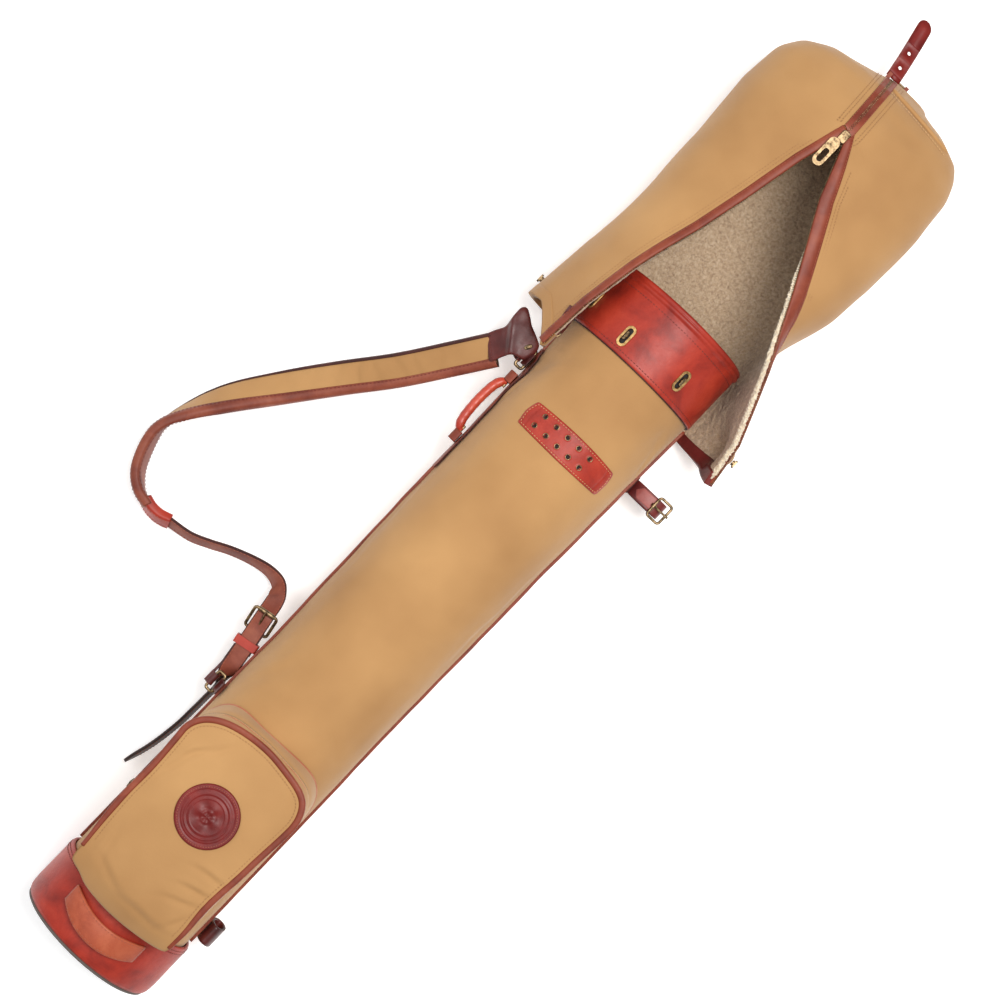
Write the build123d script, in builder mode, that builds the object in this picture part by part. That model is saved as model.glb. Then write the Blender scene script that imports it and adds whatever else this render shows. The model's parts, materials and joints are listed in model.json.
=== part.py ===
from build123d import *
import math
import os

os.makedirs("parts", exist_ok=True)

# ---------------------------------------------------------------------------
# A slim canvas and leather golf bag with a zipped travel hood, lying on its
# back.  +Y runs from the sole to the hood, +Z is up, z = 0 is the surface the
# bag lies on and x = 0 is the middle of the tube.  All sizes in millimetres.
# ---------------------------------------------------------------------------

ZC = 74.0            # height of the tube's axis above the surface
R_TUBE = 76.0        # outside radius of the canvas tube at the boot
R_WAIST = 75.0       # at the middle
R_THROAT = 78.0      # below the cuff
R_CUFF_IN = 80.0     # canvas inside the cuff
T_CANVAS = 2.0
T_LINER = 1.6
Y_BOOT_TOP = 68.0
Y_CUFF = 802.0
Y_RIM = 868.0
Y_TOP = 878.0
R_BOOT = 81.3
R_CUFF = 83.0
Z_CUFF_FLAT = 5.6    # underside of the cuff, room for the hood's back wall

POCKET_TOP = 191.0   # height of the ball pocket's face
POCKET_ROOT = 92.0

HOOD_START = 792.0
HOOD_SHELL = 1.8
HOOD_LINING = 6.5
HOOD_BACK = 4.8      # shell and lining together where they lie under the cuff

SWING_X, SWING_Z = -92.0, 72.0   # line the shoulder strap swings about
STRAP_W, STRAP_T = 20.0, 3.0
PAD_W, PAD_T = 33.0, 10.0
HANDLE_X, HANDLE_Z = -84.0, 76.0

AX = Axis((0, 0, ZC), (0, 1, 0))


def r_tube(y):
    pts = [(0, R_TUBE), (120, R_TUBE), (400, R_WAIST), (720, R_THROAT), (795, R_CUFF_IN), (900, R_CUFF_IN)]
    for (a, ra), (b, rb) in zip(pts, pts[1:]):
        if a <= y <= b:
            return ra + (rb - ra) * (y - a) / (b - a)
    return pts[-1][1]


TUBE_Y = [12, 120, 400, 720, 795, 868]
TUBE_FLOOR = [(-20, 3.2), (68, 3.2), (76, 0), (765, 0), (801, 8.2), (920, 8.2)]


def round_solid(prof, floor):
    """A turned solid about the tube's axis with its underside cut flat."""
    with BuildPart() as s:
        with BuildSketch(Plane.YZ):
            with BuildLine():
                Polyline(*[(y, ZC + r) for y, r in prof], (prof[-1][0], ZC), (prof[0][0], ZC), close=True)
            make_face()
        revolve(axis=AX)
        with BuildSketch(Plane.YZ):
            with BuildLine():
                Polyline(*floor, (floor[-1][0], -60), (floor[0][0], -60), close=True)
            make_face()
        extrude(amount=150, both=True, mode=Mode.SUBTRACT)
    return s.part


def raised(floor, t):
    return [(y, z + t) for y, z in floor]


def meridian(phi):
    """Plane through the tube's axis: local x runs along +Y, local y outward."""
    a = math.radians(phi)
    return Plane(origin=(0, 0, ZC), x_dir=(0, 1, 0), z_dir=(math.cos(a), 0, -math.sin(a)))


def on_round(phi, y, r):
    """Plane lying on the round side: local x along +Y, normal outward."""
    a = math.radians(phi)
    return Plane(origin=(r * math.sin(a), y, ZC + r * math.cos(a)), x_dir=(0, 1, 0),
                 z_dir=(math.sin(a), 0, math.cos(a)))


def unit(v):
    n = math.sqrt(sum(c * c for c in v))
    return tuple(c / n for c in v)


def cross(a, b):
    return (a[1] * b[2] - a[2] * b[1], a[2] * b[0] - a[0] * b[2], a[0] * b[1] - a[1] * b[0])


def ribbon_planes(pts, rolls):
    """Planes across a route: local x is the strap's width, rolled from flat."""
    out = []
    n = len(pts)
    for i, p in enumerate(pts):
        a, b = pts[max(i - 1, 0)], pts[min(i + 1, n - 1)]
        t = unit(tuple(b[k] - a[k] for k in range(3)))
        h = unit(cross((0, 0, 1), t))
        m = cross(t, h)
        r = math.radians(rolls[i])
        w = tuple(h[k] * math.cos(r) + m[k] * math.sin(r) for k in range(3))
        out.append(Plane(origin=p, x_dir=w, z_dir=t))
    return out


def carried(planes, draw):
    """One solid through the planes, made a ruled stretch at a time."""
    with BuildPart() as b:
        for pair in zip(planes, planes[1:]):
            with BuildPart(mode=Mode.PRIVATE) as s:
                for pl in pair:
                    with BuildSketch(pl):
                        draw()
                loft(ruled=True)
            add(s.part)
    return b.part


def strap_section(width, thick, lift=0.0):
    def draw():
        with Locations((0, lift)):
            Rectangle(width, thick)
    return draw


# ------------------------------------------------------------------ the base
with BuildPart() as base_boot:
    add(round_solid([(4, 78.6), (7, 80.4), (14, R_BOOT), (58, R_BOOT), (Y_BOOT_TOP, R_BOOT - 0.8)], [(-20, 0), (120, 0)]))
    add(round_solid([(7, R_TUBE + 0.1), (90, R_TUBE + 0.1)], [(-20, 3.1), (120, 3.1)]), mode=Mode.SUBTRACT)

with BuildPart() as base_sole:
    add(round_solid([(0, 75.0), (3.9, 75.0)], [(-20, 3.1), (120, 3.1)]))

with BuildPart() as base_rim_welt:
    add(round_solid([(0, 77.6), (3.9, 78.6)], [(-20, 0), (120, 0)]))
    add(round_solid([(-1, 75.1), (5, 75.1)], [(-20, 3.0), (120, 3.0)]), mode=Mode.SUBTRACT)

with BuildPart() as base_plate:
    add(round_solid([(7.1, 75.9), (11.9, 75.9)], [(-20, 3.3), (120, 3.3)]))

# grab strap sewn over the front of the boot, bowed clear of it
with BuildPart() as base_grab_strap:
    with BuildSketch(Plane(origin=(2, 24, 0), x_dir=(1, 0, 0), z_dir=(0, -1, 0))):
        with BuildLine():
            Spline((-43, 144.5), (-22, 160.5), (0, 165), (22, 160.5), (43, 144.5))
            Line((43, 144.5), (45.5, 147.0))
            Spline((45.5, 147.0), (24, 164), (0, 168.4), (-24, 164), (-45.5, 147.0))
            Line((-45.5, 147.0), (-43, 144.5))
        make_face()
    extrude(amount=-25)
    add(round_solid([(-1, R_BOOT + 0.15), (90, R_BOOT + 0.15)], [(-20, 0), (120, 0)]), mode=Mode.SUBTRACT)

# ------------------------------------------------------------------ the tube
with BuildPart() as body_tube:
    add(round_solid([(y, r_tube(y)) for y in TUBE_Y], TUBE_FLOOR))
    add(round_solid([(y, r_tube(y) - T_CANVAS) for y in [5, 120, 400, 720, 795, 890]], raised(TUBE_FLOOR, T_CANVAS)),
        mode=Mode.SUBTRACT)

with BuildPart() as body_liner:
    add(round_solid([(y, r_tube(y) - T_CANVAS - 0.05) for y in [12, 120, 400, 720, 795, 844]],
                    raised(TUBE_FLOOR, T_CANVAS + 0.05)))
    add(round_solid([(y, r_tube(y) - T_CANVAS - T_LINER) for y in [5, 120, 400, 720, 795, 890]],
                    raised(TUBE_FLOOR, T_CANVAS + T_LINER)), mode=Mode.SUBTRACT)

with BuildPart() as cuff_hoop:
    add(round_solid([(845, R_CUFF_IN - T_CANVAS - 0.05), (867, R_CUFF_IN - T_CANVAS - 0.05)],
                    raised(TUBE_FLOOR, T_CANVAS + 0.05)))
    add(round_solid([(830, R_CUFF_IN - T_CANVAS - T_LINER), (890, R_CUFF_IN - T_CANVAS - T_LINER)],
                    raised(TUBE_FLOOR, T_CANVAS + T_LINER)), mode=Mode.SUBTRACT)

with BuildPart() as divider_bar:
    with BuildSketch(Plane(origin=(-75.7, 856, ZC), x_dir=(0, 1, 0), z_dir=(1, 0, 0))):
        Circle(4.5)
    extrude(amount=151.4)

with BuildPart() as side_welts:
    with BuildSketch(meridian(-93)):
        with BuildLine():
            Polyline((72, r_tube(72) + 0.1), (120, R_TUBE + 0.1), (400, R_WAIST + 0.1), (592, r_tube(592) + 0.1),
                     (592, r_tube(592) + 1.7), (400, R_WAIST + 1.7), (120, R_TUBE + 1.7), (72, r_tube(72) + 1.7),
                     close=True)
        make_face()
    revolve(axis=AX, revolution_arc=6)
    with BuildSketch(meridian(87)):
        with BuildLine():
            Polyline((72, r_tube(72) + 0.1), (120, R_TUBE + 0.1), (400, R_WAIST + 0.1), (720, R_THROAT + 0.1), (795, R_CUFF_IN + 0.1),
                     (795, R_CUFF_IN + 1.7), (720, R_THROAT + 1.7), (400, R_WAIST + 1.7), (120, R_TUBE + 1.7), (72, r_tube(72) + 1.7),
                     close=True)
        make_face()
    revolve(axis=AX, revolution_arc=6)

# ------------------------------------------------------------------ the cuff
with BuildPart() as top_cuff:
    add(round_solid([(Y_CUFF, R_CUFF), (Y_RIM - 0.1, R_CUFF)], [(700, Z_CUFF_FLAT), (920, Z_CUFF_FLAT)]))
    add(round_solid([(700, R_CUFF_IN + 0.1), (920, R_CUFF_IN + 0.1)], [(690, 8.1), (930, 8.1)]), mode=Mode.SUBTRACT)

with BuildPart() as cuff_rim:
    add(round_solid([(Y_RIM + 0.1, R_CUFF + 0.4), (Y_TOP - 2, R_CUFF + 0.4), (Y_TOP, R_CUFF - 1.6)],
                    [(700, Z_CUFF_FLAT), (920, Z_CUFF_FLAT)]))
    add(round_solid([(860, 76.6), (Y_TOP - 2, 76.6), (Y_TOP + 0.1, 78.6), (900, 78.6)], [(690, 11.5), (930, 11.5)]), mode=Mode.SUBTRACT)

# oval plates of the turn locks, and the knob that turns on each
TURN_AT = [(-65.0, 830.0), (-19.4, 820.0), (30.2, 826.0)]
with BuildPart() as cuff_turn_plates:
    for phi, y in TURN_AT:
        with BuildSketch(on_round(phi, y, R_CUFF + 0.15)):
            SlotOverall(24, 11)
            SlotOverall(18.6, 6.2, mode=Mode.SUBTRACT)
        extrude(amount=1.4)


def turn_knob(phi, y):
    with BuildPart() as k:
        with BuildSketch(on_round(phi, y, R_CUFF + 0.2)):
            Circle(1.6)
        extrude(amount=3.4)
        with BuildSketch(on_round(phi, y, R_CUFF + 2.2)):
            SlotOverall(10, 3.0)
        extrude(amount=2.2)
        chamfer(k.faces().sort_by(Axis((0, 0, ZC), (math.sin(math.radians(phi)), 0, math.cos(math.radians(phi)))))[-1].edges(), 0.5)
    return k.part


with BuildPart() as cuff_knob_left:
    add(turn_knob(*TURN_AT[0]))
with BuildPart() as cuff_knob_middle:
    add(turn_knob(*TURN_AT[1]))
with BuildPart() as cuff_knob_right:
    add(turn_knob(*TURN_AT[2]))

# ------------------------------------------------------------ the tee holder
TEE_Y0, TEE_Y1 = 684.0, 715.0
with BuildPart() as tee_holder_patch:
    with BuildSketch(meridian(-37)):
        with BuildLine():
            Polyline((TEE_Y0, r_tube(TEE_Y0) + 0.12), (TEE_Y1, r_tube(TEE_Y1) + 0.12),
                     (TEE_Y1, r_tube(TEE_Y1) + 1.9), (TEE_Y0, r_tube(TEE_Y0) + 1.9), close=True)
        make_face()
    revolve(axis=AX, revolution_arc=84)
    for i in range(5):
        for y in (692.5, 706.5):
            with BuildSketch(on_round(-23 + 13 * i, y, 70)):
                Circle(2.3)
            extrude(amount=15, mode=Mode.SUBTRACT)

# ----------------------------------------------------------- the ball pocket
FACE = [(-59, 71), (-28, 62), (8, 59), (42, 62), (66, 71), (73, 115), (75, 169), (75, 252), (63, 273), (38, 280),
        (-17, 279), (-66, 271), (-84, 250), (-84, 222), (-71, 152)]
ROOT = [(-58, 76), (-28, 72), (4, 71), (34, 72), (60, 76), (67, 118), (68, 168), (68, 254), (60, 276), (38, 288),
        (-14, 289), (-56, 284), (-70, 262), (-71, 226), (-66, 152)]


def grown(poly, d):
    """The outline moved outward by d."""
    n = len(poly)
    out = []
    for i in range(n):
        x0, y0 = poly[i - 1]
        x1, y1 = poly[i]
        x2, y2 = poly[(i + 1) % n]
        a = unit((x1 - x0, y1 - y0, 0))
        b = unit((x2 - x1, y2 - y1, 0))
        na, nb = (a[1], -a[0]), (b[1], -b[0])
        s = unit((na[0] + nb[0], na[1] + nb[1], 0))
        k = d / max(0.5, s[0] * na[0] + s[1] * na[1])
        out.append((x1 + s[0] * k, y1 + s[1] * k))
    return out


def at_height(z, d=0.0):
    f = (z - POCKET_ROOT) / (POCKET_TOP - POCKET_ROOT)
    mid = [(r[0] + (t[0] - r[0]) * f, r[1] + (t[1] - r[1]) * f) for r, t in zip(ROOT, FACE)]
    return grown(mid, d)


def pocket_block(z0, z1, d):
    with BuildPart() as s:
        for z in (z0, z1):
            with BuildSketch(Plane.XY.offset(z)):
                with BuildLine():
                    Polyline(*at_height(z, d), close=True)
                make_face()
        loft(ruled=True)
    return s.part


TUBE_CUT = round_solid([(0, 81.6), (69, 81.6), (69.01, R_TUBE + 0.25), (120, R_TUBE + 0.25), (400, R_TUBE + 0.25)],
                       [(-20, 0), (420, 0)])

with BuildPart() as pocket_gusset:
    add(pocket_block(POCKET_ROOT, 184.9, -1.0))
    add(pocket_block(POCKET_ROOT - 5, 190.0, -4.0), mode=Mode.SUBTRACT)
    add(TUBE_CUT, mode=Mode.SUBTRACT)

with BuildPart() as pocket_front:
    add(pocket_block(186.6, POCKET_TOP, -5.0))

with BuildPart() as pocket_piping_front:
    add(pocket_block(185.0, POCKET_TOP + 0.6, 0.0))
    add(pocket_block(184.0, POCKET_TOP + 2.0, -4.9), mode=Mode.SUBTRACT)

with BuildPart() as pocket_piping_back:
    with BuildSketch(Plane.XY.offset(60)):
        with BuildLine():
            Polyline(*grown(ROOT, 3.2), close=True)
        make_face()
        with BuildLine():
            Polyline(*grown(ROOT, -0.6), close=True)
        make_face(mode=Mode.SUBTRACT)
    extrude(amount=120)
    add(round_solid([(60, R_TUBE + 3.0), (400, R_TUBE + 3.0)], [(-20, 80), (420, 80)]), mode=Mode.INTERSECT)
    add(TUBE_CUT, mode=Mode.SUBTRACT)
    add(pocket_block(POCKET_ROOT - 22, 170.0, -0.8), mode=Mode.SUBTRACT)

# zip tape on the gusset's left side and over the top
with BuildPart() as pocket_zip_tape:
    add(pocket_block(148.0, 162.0, 0.3))
    add(pocket_block(147.0, 163.0, -0.9), mode=Mode.SUBTRACT)
    with BuildSketch(Plane.XY.offset(140)):
        with BuildLine():
            Polyline((-110, 128), (-30, 128), (-30, 240), (52, 240), (52, 310), (-110, 310), close=True)
        make_face()
    extrude(amount=30, mode=Mode.INTERSECT)
    add(TUBE_CUT, mode=Mode.SUBTRACT)

P_A, P_B = at_height(155, 0.6)[14], at_height(155, 0.6)[13]
P_U = unit((P_B[0] - P_A[0], P_B[1] - P_A[1], 0))
P_N = (-P_U[1], P_U[0], 0)
P_S = (P_A[0] + P_U[0] * 10 + P_N[0] * 2.0, P_A[1] + P_U[1] * 10 + P_N[1] * 2.0, 155)
with BuildPart() as pocket_zip_slider:
    with BuildSketch(Plane(origin=P_S, x_dir=P_U, z_dir=P_N)):
        RectangleRounded(11, 8, 2.2)
    extrude(amount=1.6, both=True)
    chamfer(pocket_zip_slider.faces().sort_by(Axis((0, 0, 0), P_N))[-1].edges(), 0.5)
# the pull hangs beside the slider
P_P = (P_S[0] + P_N[0] * 3.4, P_S[1] + P_N[1] * 3.4, 152.5)
with BuildPart() as pocket_zip_pull:
    with BuildSketch(Plane(origin=(P_P[0] - P_N[0] * 0.8, P_P[1] - P_N[1] * 0.8, 0), x_dir=P_U, z_dir=P_N)):
        with Locations((0, -(152.5 - 13))):
            RectangleRounded(7, 26, 3)
        with Locations((0, -(152.5 - 21))):
            Circle(1.8, mode=Mode.SUBTRACT)
        with Locations((0, -(152.5 - 6))):
            RectangleRounded(3, 9, 1.2, mode=Mode.SUBTRACT)
    extrude(amount=1.6)

PATCH = (1.7, 199.0)
with BuildPart() as pocket_patch:
    with BuildSketch(Plane.XY.offset(POCKET_TOP + 0.1)):
        with Locations(PATCH):
            Circle(32.5)
    extrude(amount=2.2)
    chamfer(pocket_patch.faces().sort_by(Axis.Z)[-1].edges(), 0.7)

# ---------------------------------------------------------- the carry handle
with BuildPart() as handle_strip:
    with BuildSketch(meridian(-99)):
        with BuildLine():
            Polyline((595, r_tube(595) + 0.12), (720, R_THROAT + 0.12), (757, r_tube(757) + 0.12),
                     (757, r_tube(757) + 2.1), (720, R_THROAT + 2.1), (595, r_tube(595) + 2.1), close=True)
        make_face()
    revolve(axis=AX, revolution_arc=18)

with BuildPart() as handle_anchors:
    for y in (627, 709):
        with BuildSketch(Plane(origin=(0, y, 0), x_dir=(1, 0, 0), z_dir=(0, -1, 0))):
            with BuildLine():
                Polyline((-80.6, HANDLE_Z - 6), (-87, HANDLE_Z - 4.2), (-88.5, HANDLE_Z), (-87, HANDLE_Z + 4.2),
                         (-80.6, HANDLE_Z + 6), close=True)
            make_face()
            with Locations((HANDLE_X, HANDLE_Z)):
                Circle(1.5, mode=Mode.SUBTRACT)
        extrude(amount=-13)
    add(round_solid([(580, r_tube(595) + 2.3), (720, R_THROAT + 2.3), (757, r_tube(757) + 2.3)], [(560, 0), (800, 0)]),
        mode=Mode.SUBTRACT)

with BuildPart() as handle_pins:
    for y0, y1 in ((627.5, 647.0), (702.0, 721.5)):
        with BuildSketch(Plane(origin=(HANDLE_X, y0, HANDLE_Z), x_dir=(1, 0, 0), z_dir=(0, 1, 0))):
            Circle(1.5)
        extrude(amount=y1 - y0)

with BuildPart() as handle_tabs:
    for y in (640.6, 698.4):
        with BuildSketch(Plane(origin=(0, y, 0), x_dir=(1, 0, 0), z_dir=(0, -1, 0))):
            with BuildLine():
                Polyline((-81.4, HANDLE_Z - 2.6), (-86.4, HANDLE_Z - 4.2), (-97, HANDLE_Z - 4.2), (-97, HANDLE_Z + 4.2),
                         (-86.4, HANDLE_Z + 4.2), (-81.4, HANDLE_Z + 2.6), close=True)
            make_face()
            with Locations((HANDLE_X, HANDLE_Z)):
                Circle(1.55, mode=Mode.SUBTRACT)
        extrude(amount=-10)

with BuildPart() as handle_grip:
    with BuildLine() as grip_route:
        FilletPolyline((-92.0, 651.3, HANDLE_Z), (-94.0, 674.5, HANDLE_Z), (-92.0, 697.7, HANDLE_Z), radius=120)
    with BuildSketch(Plane(origin=grip_route.line @ 0, z_dir=grip_route.line % 0)):
        Circle(6.0)
    sweep()

# ------------------------------------------------- shoulder strap: bag's side
def wire_loop(x0, x1, y0, y1, z, r, corner):
    with BuildPart() as w:
        with BuildLine() as route:
            FilletPolyline((x1, y0, z), (x1, y1, z), (x0, y1, z), (x0, y0, z), radius=corner, close=True)
        with BuildSketch(Plane(origin=route.line @ 0, z_dir=route.line % 0)):
            Circle(r)
        sweep()
    return w.part


with BuildPart() as strap_rings:
    add(wire_loop(SWING_X, SWING_X + 9, 728, 752, SWING_Z, 1.7, 2.4))
    add(wire_loop(SWING_X, SWING_X + 9, 271, 293, SWING_Z, 1.6, 2.4))


def chape(y0, y1, x_out, r_wire, r_side, zl, zh):
    """Leather folded over the ring's inner bar, against the tube's side."""
    with BuildPart() as c:
        with BuildSketch(Plane(origin=(0, y0, 0), x_dir=(1, 0, 0), z_dir=(0, -1, 0))):
            with BuildLine():
                Polyline((-70, zl), (x_out + 3, zl), (x_out + 1.0, SWING_Z - 6), (x_out, SWING_Z), (x_out + 1.0, SWING_Z + 6),
                         (x_out + 3, zh), (-70, zh), close=True)
            make_face()
            with Locations((x_out + 3.6, SWING_Z)):
                Circle(r_wire + 0.1, mode=Mode.SUBTRACT)
        extrude(amount=-(y1 - y0))
        add(round_solid([(y0 - 5, r_side), (y1 + 5, r_side)], [(y0 - 20, 0), (y1 + 20, 0)]), mode=Mode.SUBTRACT)
    return c.part


with BuildPart() as strap_chapes:
    add(chape(732.0, 748.0, -86.6, 1.7, R_THROAT + 3.0, 50, 92))
    add(chape(275.0, 289.0, -86.6, 1.6, R_WAIST + 2.4, 65.6, 92))

# ---------------------------------------------------- shoulder strap: swings
with BuildPart() as strap_end_tab:
    with BuildSketch(Plane(origin=(0, 731.0, 0), x_dir=(1, 0, 0), z_dir=(0, -1, 0))):
        with Locations((SWING_X, SWING_Z)):
            Circle(4.2)
            Circle(1.75, mode=Mode.SUBTRACT)
    extrude(amount=-18)
    with BuildSketch(Plane(origin=(-95.2, 740, SWING_Z - 1.2), x_dir=(0, 1, 0), z_dir=(-1, 0, 0))):
        Rectangle(18, 5)
    with BuildSketch(Plane(origin=(-103.0, 737.5, SWING_Z - 6.0), x_dir=(0, 1, 0), z_dir=unit((-1, -0.5, -0.5)))):
        Rectangle(27, 8)
    with BuildSketch(Plane(origin=(-116.0, 727.5, 58), x_dir=unit((-0.83, 0.56, 0)), z_dir=unit((-0.53, -0.79, -0.3)))):
        Rectangle(36, 9)
    loft(ruled=True)

PAD = [(-117.0, 725.8, 57.4), (-142, 690, 44), (-176, 642, 30), (-213, 596, 21), (-249, 549, 16.4), (-283, 501, 15.6),
       (-304, 461, 17.2), (-315, 431, 19), (-313, 408, 19.6), (-301, 381, 18), (-285, 365, 15.2), (-270, 358.6, 12.6)]
PAD_ROLL = [4, 4, 4, 4, 8, 18, 34, 50, 56, 50, 40, 28]
with BuildPart() as strap_pad:
    add(carried(ribbon_planes(PAD, PAD_ROLL), strap_section(PAD_W, PAD_T - 3.4, 1.7)))

with BuildPart() as strap_pad_backing:
    add(carried(ribbon_planes(PAD, PAD_ROLL), strap_section(PAD_W + 3, 2.8, -3.2)))

with BuildPart() as strap_sleeve:
    for pl in ribbon_planes([(-264.0, 357.6, 11.8), (-255, 357.6, 11.5), (-243, 360, 11.5)], [28, 26, 26]):
        with BuildSketch(pl):
            Rectangle(24, 8.5)
    loft(ruled=True)

BK_U = unit((-0.17, 0.985, 0))
BK_W = unit((0.985, 0.17, 0))
BK_P0 = (-94.5, 346.0, 61.5)
BK_P1 = tuple(BK_P0[k] + 23 * BK_U[k] + (9.5 if k == 2 else 0) for k in range(3))
RUN_A = tuple(BK_P0[k] + 22 * BK_U[k] + (4.5 if k == 2 else 0) for k in range(3))
RUN_B = tuple(BK_P0[k] - 30 * BK_U[k] + (4.5 if k == 2 else 0) for k in range(3))
NARROW = [(-242.2, 360.2, 11.5), (-215, 364.4, 10.5), (-194, 373, 10.5), (-172.6, 383.5, 11.5), (-149, 392.0, 13.5),
          (-130, 396, 18), (-114, 394.5, 27), (-105, 387, 40), (-101, 379.5, 54), RUN_A, RUN_B,
          (-86.6, 301, 63.5), (-85.4, 295, 60.0), (-84.8, 289, 56.2), (-84.5, 283, 51.5), (-84.5, 262, 38), (-85.5, 238, 24), (-87, 213, 14), (-92, 180, 11), (-101, 147, 11)]
NARROW_ROLL = [26, 50, 60, 60, 56, 46, 30, 12, 2, 0, 0, -5, -28, -52, -75, -80, -80, -80, -80, -80]
with BuildPart() as strap_leather:
    add(carried(ribbon_planes(NARROW, NARROW_ROLL), strap_section(STRAP_W, STRAP_T)))
    with BuildSketch(Plane(origin=BK_P0, x_dir=BK_U, z_dir=(0, 0, 1))):
        with Locations((6, 0)):
            SlotOverall(20, 4.2)
    extrude(amount=12, mode=Mode.SUBTRACT)


def buckle_frame(p0, p1, w, half, r):
    with BuildPart() as b:
        a = [tuple(p0[k] + half * w[k] for k in range(3)), tuple(p1[k] + half * w[k] for k in range(3)),
             tuple(p1[k] - half * w[k] for k in range(3)), tuple(p0[k] - half * w[k] for k in range(3))]
        with BuildLine() as route:
            FilletPolyline(*a, radius=3.0, close=True)
        with BuildSketch(Plane(origin=route.line @ 0, z_dir=route.line % 0)):
            Circle(r)
        sweep()
    return b.part


def buckle_tongue(p0, p1, w, r_bar, r_over):
    d = unit(tuple(p1[k] - p0[k] for k in range(3)))
    n = unit(cross(w, d))
    length = math.sqrt(sum((p1[k] - p0[k]) ** 2 for k in range(3)))
    al = math.asin((r_over + 1.35) / length)
    e = tuple(d[k] * math.cos(al) + n[k] * math.sin(al) for k in range(3))
    with BuildPart() as t:
        with BuildSketch(Plane(origin=tuple(p0[k] - 1.6 * w[k] for k in range(3)), x_dir=d, z_dir=w)):
            Circle(r_bar + 1.5)
            Circle(r_bar + 0.06, mode=Mode.SUBTRACT)
        extrude(amount=3.2)
        with BuildSketch(Plane(origin=tuple(p0[k] + (r_bar + 0.5) * e[k] for k in range(3)), x_dir=w, z_dir=e)):
            Circle(1.2)
        extrude(amount=length - r_bar + 2.6)
    return t.part


with BuildPart() as strap_buckle_frame:
    add(buckle_frame(BK_P0, BK_P1, BK_W, 13.0, 1.7))

with BuildPart() as strap_buckle_roller:
    with BuildSketch(Plane(origin=tuple(BK_P1[k] - 9.2 * BK_W[k] for k in range(3)), z_dir=BK_W)):
        Circle(2.6)
        Circle(1.76, mode=Mode.SUBTRACT)
    extrude(amount=18.4)

with BuildPart() as strap_buckle_tongue:
    add(buckle_tongue(BK_P0, BK_P1, BK_W, 1.7, 2.6))

# leather holding the buckle: folded round its back bar, then round the ring
with BuildPart() as strap_buckle_chape:
    for s in (-1, 1):
        with BuildSketch(Plane(origin=tuple(BK_P0[k] + (6.3 * s - 3.7) * BK_W[k] for k in range(3)), x_dir=BK_U, z_dir=BK_W)):
            Circle(2.75)
            with Locations((-8, -1.9)):
                Rectangle(16, 3.0)
            Circle(1.75, mode=Mode.SUBTRACT)
        extrude(amount=7.4)
    with BuildSketch(Plane(origin=tuple(BK_P0[k] - 15 * BK_U[k] for k in range(3)), x_dir=BK_W, z_dir=tuple(-c for c in BK_U))):
        with Locations((0, -1.9)):
            Rectangle(20, 3.0)
    extrude(amount=11)
    with BuildSketch(Plane.XY.offset(BK_P0[2] - 3.4)):
        with BuildLine():
            Polyline((-98.1, 275.6), (-95.1, 275.6), (-95.1, 292), (-82, 320.5), (-101.5, 322.5), (-98.1, 300), close=True)
        make_face()
    extrude(amount=3.0)
    with BuildSketch(Plane(origin=(0, 275.6, 0), x_dir=(1, 0, 0), z_dir=(0, -1, 0))):
        with Locations((SWING_X - 4.6, (BK_P0[2] - 3.4 + SWING_Z) / 2)):
            Rectangle(3.0, SWING_Z - BK_P0[2] + 3.4)
        with Locations((SWING_X, SWING_Z)):
            Circle(4.0)
            Circle(1.66, mode=Mode.SUBTRACT)
    extrude(amount=-12.8)

KP = tuple(BK_P0[k] - 15.5 * BK_U[k] for k in range(3))
with BuildPart() as strap_keeper:
    with BuildSketch(Plane(origin=(KP[0], KP[1], 63.0), x_dir=BK_W, z_dir=tuple(-c for c in BK_U))):
        RectangleRounded(26.5, 14.4, 2.0)
        Rectangle(22.0, 10.4, mode=Mode.SUBTRACT)
    extrude(amount=4.5, both=True)

with BuildPart() as strap_tab_rivet:
    with BuildSketch(Plane(origin=(-107.6, 735.6, SWING_Z - 2.0), z_dir=unit((-0.42, -0.2, 0.9)))):
        Circle(4.2)
    extrude(amount=2.2)

# ------------------------------------------------------ the umbrella holder
UM_X, UM_Z = 82.0, 50.0
with BuildPart() as umbrella_anchor:
    with BuildSketch(Plane(origin=(0, 711, 0), x_dir=(1, 0, 0), z_dir=(0, -1, 0))):
        with BuildLine():
            Polyline((60, UM_Z - 24), (UM_X - 4, UM_Z - 16), (UM_X - 2.6, UM_Z), (UM_X - 3.2, UM_Z + 18), (60, UM_Z + 26), close=True)
        make_face()
    extrude(amount=-22)
    add(round_solid([(700, R_THROAT + 0.2), (740, R_THROAT + 0.9)], [(690, 0), (760, 0)]), mode=Mode.SUBTRACT)

with BuildPart() as umbrella_strap:
    with BuildSketch(Plane(origin=(0, 713, 0), x_dir=(1, 0, 0), z_dir=(0, -1, 0))):
        with Locations((UM_X + 20.5, UM_Z)):
            RectangleRounded(40, 18, 8.5)
            RectangleRounded(34.4, 12.4, 5.7, mode=Mode.SUBTRACT)
    extrude(amount=-18)

UB_P0 = (112.0, 722.0, 62.4)
UB_P1 = (128.0, 722.0, 61.6)
with BuildPart() as umbrella_buckle_frame:
    add(buckle_frame(UB_P0, UB_P1, (0, 1, 0), 11.5, 1.5))

with BuildPart() as umbrella_buckle_tongue:
    add(buckle_tongue(UB_P0, UB_P1, (0, -1, 0), 1.5, 1.5))

with BuildPart() as umbrella_lower_loop:
    with BuildSketch(Plane(origin=(0, 80, 0), x_dir=(1, 0, 0), z_dir=(0, -1, 0))):
        with Locations((86.5, 62)):
            RectangleRounded(13, 30, 6)
            RectangleRounded(7.6, 24.6, 3.4, mode=Mode.SUBTRACT)
    extrude(amount=-24)
    add(round_solid([(60, R_TUBE + 2.0), (120, R_TUBE + 2.0)], [(50, 0), (140, 0)]), mode=Mode.SUBTRACT)

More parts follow.
